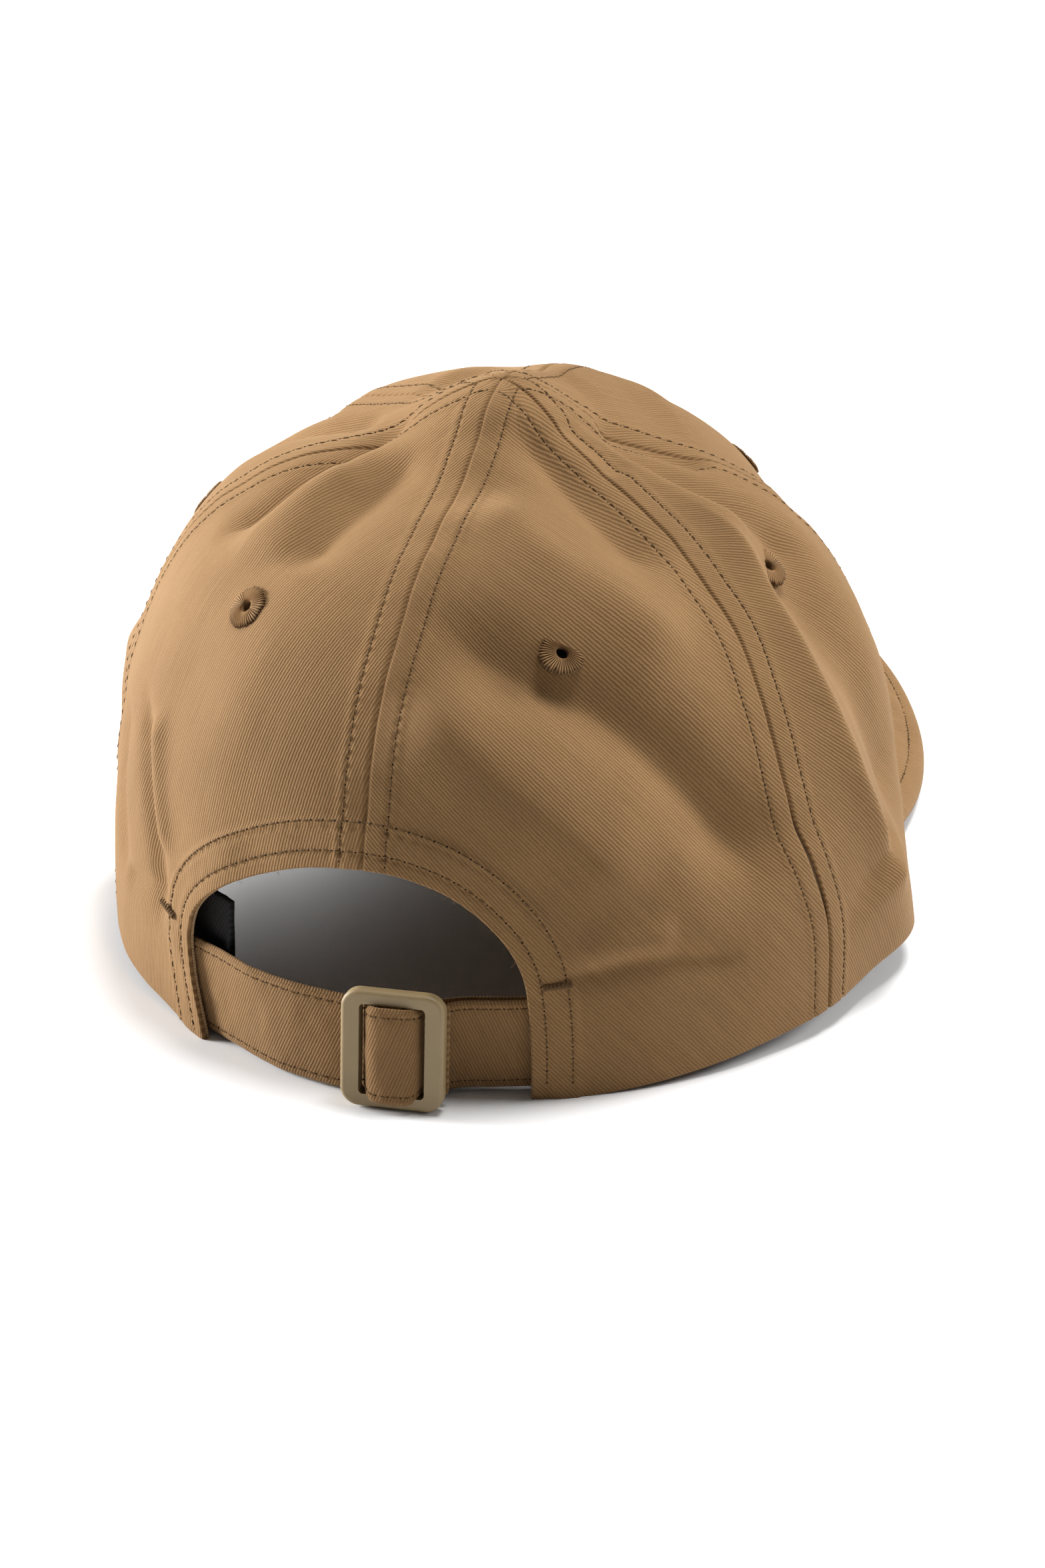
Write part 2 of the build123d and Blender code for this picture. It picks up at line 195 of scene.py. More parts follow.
def bell(gap, half_width, power=2):
    """1 at no gap, falling off over a half width."""
    return np.exp(-((gap / half_width) ** power))


def beat(along, depth, pitch):
    """Swing from 1 - 2 * depth to 1 that repeats with each stitch along a row."""
    return 1 - depth + depth * np.cos(2 * np.pi * along / pitch)


def unit(vectors):
    """Vectors scaled to length one."""
    size = np.linalg.norm(vectors, axis=-1, keepdims=True)
    return vectors / np.maximum(size, 1e-9)


def run_along(points):
    """Distance along a polyline to each of its points."""
    return np.concatenate([[0], np.cumsum(np.linalg.norm(np.diff(points, axis=0), axis=1))])


def read_line(line, run, at):
    """Points of a polyline, or vectors given along one, at the distances at."""
    return np.stack([np.interp(at, run, column) for column in line.T], -1)


def left_of(path):
    """Unit vectors to the left of a path in a plane."""
    ahead = unit(np.gradient(path, axis=0))
    return np.stack([-ahead[:, 1], ahead[:, 0]], -1)


def crown_base(angle, climb):
    """Point of the unfolded crown at an angle and a climb from 0 at the rim to pi/2 at the apex."""
    power = ease(angle, SHOULDER_POWER)
    top = ease(angle, SHOULDER_TOP)
    climb = np.clip(climb, 0, math.pi / 2)
    r = ease(angle, PLAN_RADIUS) * np.maximum(np.cos(climb), 0) ** (2 / power)
    z = top * np.maximum(np.sin(climb), 0) ** (2 / power) + (PEAK_TOP - top) * bell(r, PEAK_WIDTH)
    turn = np.radians(angle)
    return np.stack([-r * np.sin(turn), r * np.cos(turn), z], -1)


# Tables by angle, from the share of the way up a meridian to climb and from height to share
TABLE_ANGLES = np.arange(-185.0, 186.0, 1.0)
TABLE_SIZE = 500
TABLE_CLIMB = np.linspace(0, 1, TABLE_SIZE) ** 1.4 * (math.pi / 2)
meridians = crown_base(TABLE_ANGLES[:, None], TABLE_CLIMB[None, :])
runs = np.array([run_along(points) for points in meridians])
MERIDIAN = runs[:, -1]
runs = runs / MERIDIAN[:, None]
CLIMB_OF_SHARE = np.array([np.interp(np.linspace(0, 1, TABLE_SIZE), run, TABLE_CLIMB) for run in runs])
SHARE_OF_Z = np.array([
    np.interp(np.linspace(0, PEAK_TOP, TABLE_SIZE), np.maximum.accumulate(points[:, 2]), run)
    for points, run in zip(meridians, runs)
])


def lookup(table, angle, place):
    """Bilinear reading of a table whose rows are TABLE_ANGLES and whose columns run from 0 to 1."""
    a = np.clip(np.asarray(angle, float) - TABLE_ANGLES[0], 0, len(TABLE_ANGLES) - 1.001)
    p = np.clip(place, 0, 1) * (table.shape[1] - 1)
    p = np.minimum(p, table.shape[1] - 1.001)
    i = a.astype(int)
    j = p.astype(int)
    fa = a - i
    fp = p - j
    low = table[i, j] * (1 - fp) + table[i, j + 1] * fp
    high = table[i + 1, j] * (1 - fp) + table[i + 1, j + 1] * fp
    return low * (1 - fa) + high * fa


def share_at(angle, z):
    """Share of the way up the meridian at a height."""
    return lookup(SHARE_OF_Z, angle, np.asarray(z, float) / PEAK_TOP)


ANGLE_STEP = 0.3
CLIMB_STEP = 0.004


def crown_at(angle, share):
    """Point, outward normal and radius of the unfolded crown."""
    angle = np.asarray(angle, float)
    climb = lookup(CLIMB_OF_SHARE, angle, share)
    point = crown_base(angle, climb)
    across = crown_base(angle + ANGLE_STEP, climb) - crown_base(angle - ANGLE_STEP, climb)
    higher = crown_base(angle, np.minimum(climb + CLIMB_STEP, math.pi / 2))
    lower = crown_base(angle, np.maximum(climb - CLIMB_STEP, 0))
    normal = unit(np.cross(across, higher - lower))
    radius = np.hypot(point[..., 0], point[..., 1])
    near_top = (1 - smoothstep(0.4, 2.0, radius))[..., None]
    normal = unit(normal * (1 - near_top) + UP * near_top)
    return point, normal, radius


def meridian_length(angle):
    """Length of the meridian at an angle."""
    return np.interp(angle, TABLE_ANGLES, MERIDIAN)


def path_distance(points, path):
    """Distance of each point to a polyline, and how far along it the nearest place is, from 0 to 1."""
    flat = points.reshape(-1, points.shape[-1])
    best = np.full(len(flat), 1e9)
    along = np.zeros(len(flat))
    lengths = np.linalg.norm(np.diff(path, axis=0), axis=1)
    done = 0.0
    for start, end, length in zip(path[:-1], path[1:], lengths):
        direction = (end - start) / max(length, 1e-9)
        t = np.clip((flat - start) @ direction, 0, length)
        gap = np.linalg.norm(flat - start - t[:, None] * direction, axis=1)
        nearer = gap < best
        best = np.where(nearer, gap, best)
        along = np.where(nearer, done + t, along)
        done += length
    return best.reshape(points.shape[:-1]), (along / done).reshape(points.shape[:-1])


def smooth_path(keys, count):
    """Catmull-Rom curve through given (a, b) keys."""
    keys = np.asarray(keys, float)
    padded = np.vstack([2 * keys[0] - keys[1], keys, 2 * keys[-1] - keys[-2]])
    spans = len(keys) - 1
    out = []
    for k in np.linspace(0, spans, count):
        i = min(int(k), spans - 1)
        t = k - i
        p0, p1, p2, p3 = padded[i:i + 4]
        out.append(0.5 * (2 * p1 + (p2 - p0) * t + (2 * p0 - 5 * p1 + 4 * p2 - p3) * t**2
                          + (3 * p1 - p0 - 3 * p2 + p3) * t**3))
    return np.array(out)


def even_path(points, count):
    """The polyline's own shape with count evenly spaced points."""
    run = run_along(points)
    return read_line(points, run, np.linspace(0, run[-1], count))


# A fold fades out at its ends, but not where it runs out at the rim
FOLD_PATHS = []
for keys, half_width, rise, crest in FOLDS:
    curve = smooth_path(keys, 24)
    spots, _, _ = crown_at(curve[:, 0], share_at(curve[:, 0], curve[:, 1]))
    fades = [float(keys[end][1] >= FOLD_RIM_Z) for end in (0, -1)]
    FOLD_PATHS.append((spots, half_width, rise, crest, fades))


def folds_at(points):
    """Rise of the crown's soft folds and of its unevenness, in millimetres along the normal."""
    rise = np.zeros(points.shape[:-1])
    for spots, half_width, amount, crest, (first, last) in FOLD_PATHS:
        gap, along = path_distance(points, spots)
        fade = smoothstep(0, FOLD_FADE, along + 1 - first) * smoothstep(0, FOLD_FADE, 2 - along - last)
        rise += amount * fade * bell(gap, half_width, crest)
    uneven = 0.55 * soft_noise(points, 26.0, 3.0) + 0.22 * soft_noise(points, 11.0, 8.0)
    still = smoothstep(2.0, 16.0, np.hypot(points[..., 0], points[..., 1]))
    return (rise + uneven) * still


def seam_angle(name, z):
    """Angle of a seam at a height."""
    return ease(z, SEAMS[name])


def signed_turn(angle, other=0.0):
    """Angle minus other, brought into -180 to 180."""
    return (angle - other + 180.0) % 360.0 - 180.0


def seams_at(angle, point, radius):
    """Distance in millimetres to the nearest seam, and that seam's number."""
    gaps = []
    for name in SEAM_NAMES:
        turn = signed_turn(angle, seam_angle(name, point[..., 2]))
        sine = np.sin(np.radians(np.clip(turn, -SEAM_SPAN, SEAM_SPAN)))
        gaps.append(np.abs(sine) * radius + (np.abs(turn) > SEAM_SPAN) * 60.0)
    return np.min(gaps, axis=0), np.argmin(gaps, axis=0)


arch_curve = even_path(smooth_path(ARCH, 160), 160)
ARCH_SHARE = share_at(arch_curve[:, 0], arch_curve[:, 1])
ARCH_POINTS, _, _ = crown_at(arch_curve[:, 0], ARCH_SHARE)


def cloth_surface(angle, share, lift=0.0, stitched=True):
    """Point and normal of the folded crown cloth, lifted along the normal.

    With stitched, it also has the seams' ditches, the rows' grooves and the arch's puckers."""
    point, normal, radius = crown_at(angle, share)
    rise = folds_at(point)
    seam_gap, seam = seams_at(angle, point, radius)
    along = share * meridian_length(angle)
    rise = rise + 0.32 * ripple(along / 7.0, seam * 9.0, 5.0) * np.exp(-seam_gap / 8.0)
    rise = rise + ALLOWANCE_RISE * smoothstep(7.4, 5.0, seam_gap)
    arch_gap, arch_along = path_distance(point, ARCH_POINTS[::2])
    rise = rise + FACING_RISE * smoothstep(11.0, 9.3, arch_gap)
    if stitched:
        rise = rise - DITCH_DEPTH * bell(seam_gap, DITCH_HALF)
        row_gap = seam_gap - SEAM_ROW
        rise = rise - GROOVE_DEPTH * beat(along, 0.38, STITCH_PITCH) * bell(row_gap, SEAM_GROOVE_HALF)
        arch_beat = beat(arch_along * ARCH_LENGTH, 0.38, STITCH_PITCH)
        for row in ARCH_ROWS:
            rise = rise - GROOVE_DEPTH * arch_beat * bell(arch_gap - row, ARCH_GROOVE_HALF)
        pucker = ripple(arch_along * 22.0, arch_gap / 6.0, 2.0)
        rise = rise + 0.3 * pucker * np.exp(-np.abs(arch_gap - 6.0) / 5.0)
    return point + normal * (rise + lift)[..., None], normal


def frame_on_crown(angle, z):
    """Point of the crown's cloth, and its outward, level and upward directions."""
    angle = np.array([angle])
    spot, normal = cloth_surface(angle, share_at(angle, np.array([z])), stitched=False)
    level = unit(np.cross(UP, normal[0]))
    return spot[0], normal[0], level, np.cross(normal[0], level)


def foot_plan(angle):
    """Distances of the crown's foot from the middle: to the wearer's right and to the back."""
    radius = ease(angle, PLAN_RADIUS)
    return radius * np.sin(np.radians(angle)), radius * np.cos(np.radians(angle))


def rim_height(angle):
    """Height of the crown's lower edge: hem at the back, top of the visor at the front."""
    x, y = foot_plan(angle)
    t = np.clip((HEM_FLAT_Y - y) / (HEM_FLAT_Y - RIM_JOIN_Y), 0, 1)
    side = RIM_JOIN_Z * (1 - (1 - t) ** RIM_BULGE)
    return np.where(y < RIM_JOIN_Y, np.maximum(visor_top(x, y), side), side)


def visor_top(x, y):
    """Height of the visor's upper surface."""
    sag = (VISOR_ROLL_R - np.sqrt(VISOR_ROLL_R**2 - np.clip(x, -90, 90) ** 2)) / math.cos(VISOR_SLOPE)
    return VISOR_ROOT_Z - sag + math.tan(VISOR_SLOPE) * (y - VISOR_ROOT_Y)


# ---------------------------------------------------------------- mesh making
def placed(name, data):
    """Object of a mesh, lamp or camera, in the scene."""
    piece = bpy.data.objects.new(name, data)
    bpy.context.scene.collection.objects.link(piece)
    return piece


def make_object(name, geometry, material, body, replaced=None):
    """Piece from millimetre vertices, faces and one UV pair for each vertex."""
    verts, faces, uvs = geometry
    mesh = bpy.data.meshes.new(name)
    mesh.from_pydata((np.asarray(verts) * MM).tolist(), [], faces)
    layer = mesh.uv_layers.new(name="cloth")
    loops = np.empty(len(mesh.loops), dtype=np.int32)
    mesh.loops.foreach_get("vertex_index", loops)
    layer.data.foreach_set("uv", np.asarray(uvs, dtype=np.float32)[loops].ravel())
    mesh.materials.append(material)
    mesh.shade_smooth()
    mesh.update()
    piece = placed(name, mesh)
    if body:
        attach(piece, body)
    if replaced:
        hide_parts(replaced)
    return piece


def grid_faces(rows, cols, start=0, flip=False):
    """Quads of a grid of vertices stored row by row."""
    index = np.arange(rows * cols).reshape(rows, cols) + start
    a, b, c, d = index[:-1, :-1], index[:-1, 1:], index[1:, 1:], index[1:, :-1]
    quads = np.stack([a, b, c, d] if not flip else [a, d, c, b], -1).reshape(-1, 4)
    return quads.tolist()


def tube_faces(number, rings, sides):
    """Faces of one of several equal tubes whose vertices are listed ring by ring, with capped ends."""
    index = np.arange(rings * sides).reshape(rings, sides) + number * rings * sides
    after = np.roll(index, -1, axis=1)
    quads = np.stack([index[:-1], index[1:], after[1:], after[:-1]], -1).reshape(-1, 4)
    return quads.tolist() + [index[0].tolist(), index[-1][::-1].tolist()]


def sheet_geometry(outer, inner, uv, roundness=1.0):
    """Closed sheet between two grids, its edge turned in a half round."""
    rows, cols = outer.shape[:2]
    verts = [outer.reshape(-1, 3), inner.reshape(-1, 3)]
    uvs = [uv.reshape(-1, 2), uv.reshape(-1, 2)]
    faces = grid_faces(rows, cols) + grid_faces(rows, cols, rows * cols, flip=True)
    ring = [(0, j) for j in range(cols)] + [(i, cols - 1) for i in range(1, rows)]
    ring += [(rows - 1, j) for j in range(cols - 2, -1, -1)]
    ring += [(i, 0) for i in range(rows - 2, 0, -1)]
    ri, rj = np.array(ring).T
    edge = outer[ri, rj]
    away = unit(edge - outer[np.clip(ri, 1, rows - 2), np.clip(rj, 1, cols - 2)])
    up = edge - inner[ri, rj]
    half = np.linalg.norm(up, axis=1, keepdims=True) / 2
    up = unit(up)
    away = unit(away - up * np.sum(away * up, axis=1, keepdims=True))
    centre = (edge + inner[ri, rj]) / 2
    count = len(ring)
    loops = [ri * cols + rj]
    for turn in (45, 90, 135):
        c, s = math.cos(math.radians(turn)), math.sin(math.radians(turn))
        first = sum(len(v) for v in verts)
        verts.append(centre + up * half * c + away * half * s * roundness)
        uvs.append(uv[ri, rj])
        loops.append(np.arange(first, first + count))
    loops.append(rows * cols + ri * cols + rj)
    after = np.roll(np.arange(count), -1)
    for low, high in zip(loops[:-1], loops[1:]):
        faces += np.stack([low[after], low, high, high[after]], -1).tolist()
    return np.vstack(verts), faces, np.vstack(uvs)


def turned(uv, degrees):
    """Pattern coordinates turned so that the second runs along the twill's wales."""
    a = math.radians(degrees)
    c, s = math.cos(a), math.sin(a)
    return np.stack([uv[..., 0] * c - uv[..., 1] * s, uv[..., 0] * s + uv[..., 1] * c], -1)


EDGE_LIP = 1.6
EDGE_ZONE = 8.0
EDGE_STEP = 0.45


def spaced(total, step):
    """Places from 0 to 1 along a length, closer near both ends and closest at the very ends."""
    lip = np.linspace(0, EDGE_LIP, 8, endpoint=False)
    band = np.linspace(EDGE_LIP, EDGE_ZONE, int((EDGE_ZONE - EDGE_LIP) / EDGE_STEP), endpoint=False)
    side = np.concatenate([lip, band])
    count = int((total - 2 * EDGE_ZONE) / step) + 1
    centre = np.linspace(EDGE_ZONE, total - EDGE_ZONE, count)
    return np.concatenate([side, centre, total - side[::-1]]) / total


# A stitch from end to end: place along it, thickness and dip into the cloth; then a needle hole's
# rings from below to above: size and height in millimetres
STITCH_STEPS = np.array([-1.0, -0.72, -0.3, 0.3, 0.72, 1.0])
STITCH_SIZES = np.array([0.35, 0.85, 1.0, 1.0, 0.85, 0.35])
STITCH_DIPS = np.array([-1.35, -0.55, 0.05, 0.05, -0.55, -1.35])
STITCH_SIDES = 6
HOLE_RINGS = ((1.0, -0.12), (0.75, 0.07), (0.35, 0.12))
HOLE_SIDES = 8
HOLE_RADIUS = 0.30


def stitch_row(curve, normals, pitch=STITCH_PITCH, length=2.15, radius=0.21, sink=0.30):
    """Row of separate stitches along a dense curve."""
    run = run_along(curve)
    verts, faces, uvs = [], [], []
    turns = np.linspace(0, 2 * math.pi, STITCH_SIDES, endpoint=False)
    for k in range(int(run[-1] / pitch)):
        at = np.clip((k + 0.5) * pitch + STITCH_STEPS * length / 2, 0, run[-1])
        spine = read_line(curve, run, at)
        up = unit(read_line(normals, run, at))
        side = unit(np.cross(unit(np.gradient(spine, axis=0)), up))
        spine = spine + up * (radius * 0.55 + STITCH_DIPS * sink)[:, None]
        circle = (side[:, None, :] * np.cos(turns)[None, :, None]
                  + up[:, None, :] * np.sin(turns)[None, :, None])
        ring = spine[:, None, :] + circle * (STITCH_SIZES * radius)[:, None, None]
        verts.append(ring.reshape(-1, 3))
        uvs.append(np.stack([np.repeat(at, STITCH_SIDES), np.tile(turns, len(at))], -1))
        faces += tube_faces(k, len(STITCH_STEPS), STITCH_SIDES)
    return verts and (np.vstack(verts), faces, np.vstack(uvs))


def needle_holes(curve, normals, pitch=STITCH_PITCH):
    """Small dark pits where a row's thread goes through the cloth, coloured with painted shade."""
    run = run_along(curve)
    at = np.arange(0, int(run[-1] / pitch) + 1) * pitch
    spot = read_line(curve, run, at)
    up = unit(read_line(normals, run, at))
    ahead = unit(read_line(np.gradient(curve, axis=0), run, at))
    side = unit(np.cross(ahead, up))
    turns = np.linspace(0, 2 * math.pi, HOLE_SIDES, endpoint=False)[:, None]
    verts, faces = [], []
    for k in range(len(at)):
        ring = (np.cos(turns) * ahead[k] * 1.15 + np.sin(turns) * side[k] * 0.85) * HOLE_RADIUS
        verts += [spot[k] + ring * size + up[k] * height for size, height in HOLE_RINGS]
        faces += tube_faces(k, len(HOLE_RINGS), HOLE_SIDES)
    verts = np.vstack(verts)
    return verts, faces, np.zeros((len(verts), 2))


def joined(parts):
    """One geometry from several."""
    verts, faces, uvs, start = [], [], [], 0
    for v, f, u in parts:
        verts.append(v)
        uvs.append(u)
        faces += [[i + start for i in face] for face in f]
        start += len(v)
    return np.vstack(verts), faces, np.vstack(uvs)


def sewn(name, lines, body, pitch=STITCH_PITCH, length=2.15):
    """Stitches and needle holes of several rows, each given as its curve and normals."""
    rows = [stitch_row(curve, normal, pitch, length, radius=0.17) for curve, normal in lines]
    holes = [needle_holes(curve, normal, pitch) for curve, normal in lines]
    thread = make_object("stitches_" + name, joined(filter(None, rows)), SEAM_THREAD, body)
    return [thread, make_object("needle_holes_" + name, joined(holes), NEEDLE_HOLE_PAINTED_SHADE, body)]


# ---------------------------------------------------------------- materials
class Recipe:
    """Node material under construction, with short calls for the nodes it needs."""

    def __init__(self, name):
        self.material = bpy.data.materials.new(name)
        self.material.use_nodes = True
        self.tree = self.material.node_tree
        self.shader = self.tree.nodes["Principled BSDF"]

    def feed(self, node, inputs):
        """Link each input to the socket given for it, or set it to the value given."""
        for key, value in inputs.items():
            if isinstance(value, bpy.types.NodeSocket):
                self.tree.links.new(value, node.inputs[key])
            else:
                node.inputs[key].default_value = value

    def add(self, kind, inputs, output=0, **settings):
        """New node; gives one of its outputs."""
        node = self.tree.nodes.new("ShaderNode" + kind)
        for key, value in settings.items():
            setattr(node, key, value)
        self.feed(node, inputs)
        return node.outputs[output]

    def maths(self, operation, a, b=0.0, c=0.0):
        return self.add("Math", {0: a, 1: b, 2: c}, operation=operation)

    def cloth_place(self):
        """Both pattern coordinates, as one socket and apart."""
        uv = self.add("UVMap", {}, uv_map="cloth")
        first = self.add("SeparateXYZ", {0: uv})
        return uv, first, first.node.outputs[1]

    def noise(self, vector, scale, detail=2.0, **more):
        inputs = {"Vector": vector, "Scale": scale, "Detail": detail}
        inputs.update({key.capitalize(): value for key, value in more.items()})
        return self.add("TexNoise", inputs, "Fac")

    def wave(self, phase, operation="SINE"):
        """Swing from 0 to 1 with a phase in radians."""
        return self.maths("MULTIPLY_ADD", self.maths(operation, phase), 0.5, 0.5)

    def weighed(self, first, share, second, other):
        """Sum of two values, each times its share."""
        parts = self.maths("MULTIPLY", first, share), self.maths("MULTIPLY", second, other)
        return self.maths("ADD", *parts)

    def varied(self, value, noise, amount):
        """Value moved up and down by a noise around one half."""
        swing = self.maths("MULTIPLY", self.maths("SUBTRACT", noise, 0.5), amount)
        return self.maths("ADD", value, swing)

    def emboss(self, height, strength, depth):
        """Relief by height, its depth in millimetres."""
        bump = self.add("Bump", {"Strength": strength, "Distance": depth * MM, "Height": height})
        self.feed(self.shader, {"Normal": bump})

    def finish(self, shade, light, dark, roughness, specular=0.5):
        """The material, coloured from dark to light by shade."""
        colour = self.add("Mix", {0: shade, 6: (*dark, 1), 7: (*light, 1)}, 2, data_type="RGBA")
        self.feed(self.shader, {"Base Color": colour, "Roughness": roughness,
                                "Specular IOR Level": specular})
        return self.material


def twill(name, light, dark, pitch=0.70, depth=0.16, sheen=0.22):
    """Woven twill: wales along the second pattern coordinate, broken by the yarns' floats."""
    cloth = Recipe(name)
    uv, sideways, lengthways = cloth.cloth_place()
    place = cloth.add("TexCoord", {}, "Object")
    wander = cloth.noise(uv, 0.9, 3.0)
    wale = cloth.maths("DIVIDE", cloth.varied(sideways, wander, 0.35), pitch)
    ridge = cloth.wave(cloth.maths("MULTIPLY", wale, 2 * math.pi))
    step = cloth.maths("MULTIPLY", cloth.maths("FLOOR", wale), 0.37)
    floats = cloth.maths("ADD", cloth.maths("DIVIDE", lengthways, 0.62), step)
    bead = cloth.wave(cloth.maths("MULTIPLY", floats, 2 * math.pi))
    weave = cloth.weighed(ridge, 0.72, cloth.maths("MULTIPLY", ridge, bead), 0.28)
    fuzz = cloth.noise(place, 2600.0, 3.0, roughness=0.7)
    mottle = cloth.noise(place, 42.0, 4.0, roughness=0.6)
    stretched = cloth.add("Mapping", {"Vector": uv, "Scale": (1.6, 0.06, 1.0)})
    slub = cloth.noise(stretched, 1.0)
    shade = cloth.weighed(weave, 0.62, fuzz, 0.38)
    shade = cloth.varied(cloth.varied(shade, mottle, 0.32), slub, 0.42)
    cloth.emboss(cloth.maths("ADD", weave, cloth.maths("MULTIPLY", fuzz, 0.45)), 0.55, depth)
    cloth.feed(cloth.shader, {"Sheen Weight": sheen, "Sheen Roughness": 0.45,
                              "Sheen Tint": (0.80, 0.55, 0.32, 1)})
    return cloth.finish(shade, light, dark, 0.88, 0.25)


def spun(name, light, dark):
    """Twisted sewing thread: fine diagonal plies round the stitch."""
    thread = Recipe(name)
    uv, along, around_it = thread.cloth_place()
    run = thread.maths("ADD", thread.maths("MULTIPLY", along, 2 * math.pi / 0.42), around_it)
    ply = thread.wave(run)
    shade = thread.weighed(ply, 0.6, thread.noise(uv, 3.0, 3.0), 0.4)
    thread.emboss(ply, 0.5, 0.06)
    return thread.finish(shade, light, dark, 0.85, 0.15)


def satin(name, light, dark):
    """Satin-stitched thread: a light ridge for each radial thread with painted shade between them, and
    painted shade towards the rim.
    """
    thread = Recipe(name)
    _, outwards, around_it = thread.cloth_place()
    ridge = thread.wave(around_it, "COSINE")
    ply = thread.wave(thread.maths("MULTIPLY", outwards, 9.0))
    # Painted shade: darker towards the eyelet's outer rim
    edge = thread.add("MapRange", {0: outwards, 1: 8.2, 2: 10.0, 3: 1.0, 4: 0.35})
    shade = thread.maths("MULTIPLY", thread.weighed(ridge, 0.8, ply, 0.2), edge)
    thread.emboss(ridge, 0.6, 0.12)
    return thread.finish(shade, light, dark, 0.7, 0.2)


def moulded(name, light, dark):
    """Matt injection-moulded plastic with a fine spark texture and light handling marks."""
    plastic = Recipe(name)
    place = plastic.add("TexCoord", {}, "Object")
    grain = plastic.noise(place, 2400.0, 3.0)
    shade = plastic.weighed(grain, 0.45, plastic.noise(place, 120.0, 3.0), 0.55)
    scratch = plastic.noise(place, 500.0, distortion=2.5)
    plastic.emboss(grain, 0.22, 0.05)
    return plastic.finish(shade, light, dark, plastic.maths("MULTIPLY_ADD", scratch, 0.22, 0.38))


def pressed_board(name, light, dark):
    """Stiff pressed fibre board."""
    board = Recipe(name)
    fibre = board.noise(board.add("TexCoord", {}, "Object"), 900.0, 5.0, distortion=1.0)
    board.emboss(fibre, 0.4, 0.1)
    return board.finish(fibre, light, dark, 0.8)


# Light and dark of each material
CROWN_TWILL = twill("crown_twill", (0.31, 0.176, 0.072), (0.124, 0.064, 0.022))
STRAP_TWILL = twill("strap_twill", (0.28, 0.157, 0.064), (0.112, 0.058, 0.020), pitch=0.66)
TAPE_TWILL = twill("tape_twill", (0.42, 0.27, 0.145), (0.20, 0.12, 0.058), pitch=0.5, depth=0.1)
BAND_TWILL = twill("sweatband_twill", (0.020, 0.020, 0.022), (0.004, 0.004, 0.005), pitch=0.9,
                   sheen=0.08)
SEAM_THREAD = spun("seam_thread", (0.165, 0.094, 0.041), (0.070, 0.038, 0.016))
# Needle holes: near black, painted shade inside the holes
NEEDLE_HOLE_PAINTED_SHADE = spun("needle_hole_shade", (0.034, 0.018, 0.008), (0.010, 0.005, 0.002))
# The eyelet thread's dark end is painted shade between its threads and at its rim
EYELET_THREAD = satin("eyelet_thread", (0.40, 0.235, 0.105), (0.070, 0.036, 0.013))
BAND_THREAD = spun("sweatband_thread", (0.05, 0.05, 0.055), (0.01, 0.01, 0.011))
BUCKLE_PLASTIC = moulded("buckle_plastic", (0.285, 0.205, 0.098), (0.224, 0.155, 0.070))
BOARD_FIBRE = pressed_board("board_fibre", (0.52, 0.47, 0.38), (0.34, 0.30, 0.23))


# ---------------------------------------------------------------- crown panels
# A pattern lies flat in millimetres: angle times ARC_PER_DEGREE by share times CLIMB_LENGTH
ARC_PER_DEGREE = 95.5 * math.pi / 180
CLIMB_LENGTH = 155.0
PATTERN = np.array([ARC_PER_DEGREE, CLIMB_LENGTH])
NOMINAL = {"back": 0, "rear_right": 66, "fore_right": 122, "front": 180, "front_again": -180,
           "fore_left": -122, "rear_left": -66}


def seam_at_share(name, share):
    """Angle of a seam at a share of the way up."""
    point, _, _ = crown_at(np.full(np.shape(share), float(NOMINAL[name])), share)
    return seam_angle(name, point[..., 2])


# Angle and height of each eyelet
EYELETS = {
    "eyelet_back_right": (29.0, 91.5),
    "eyelet_side_right": (91.0, 93.0),
    "eyelet_front_right": (151.0, 90.0),
    "eyelet_front_left": (-151.0, 90.0),
    "eyelet_side_left": (-94.0, 90.0),
    "eyelet_back_left": (-30.5, 92.3),
}
EYELET_PUNCH_R = 2.6


def plain_gore(low, high, rows):
    """Grid of (angle, share) between two seams, from the rim to the apex."""
    share = np.linspace(0, 1, rows) ** 0.96
    left = seam_at_share(low, share)
    right = seam_at_share(high, share)
    part = spaced(ARC_PER_DEGREE * (NOMINAL[high] - NOMINAL[low]), 1.05)
    angle = left[:, None] + (right - left)[:, None] * part[None, :]
    start = share_at(angle, rim_height(angle))
    return angle, start + (1 - start) * share[:, None]


GORE_REACH = 70.0
OUT_PASSES = 60
GRID_PASSES = 400


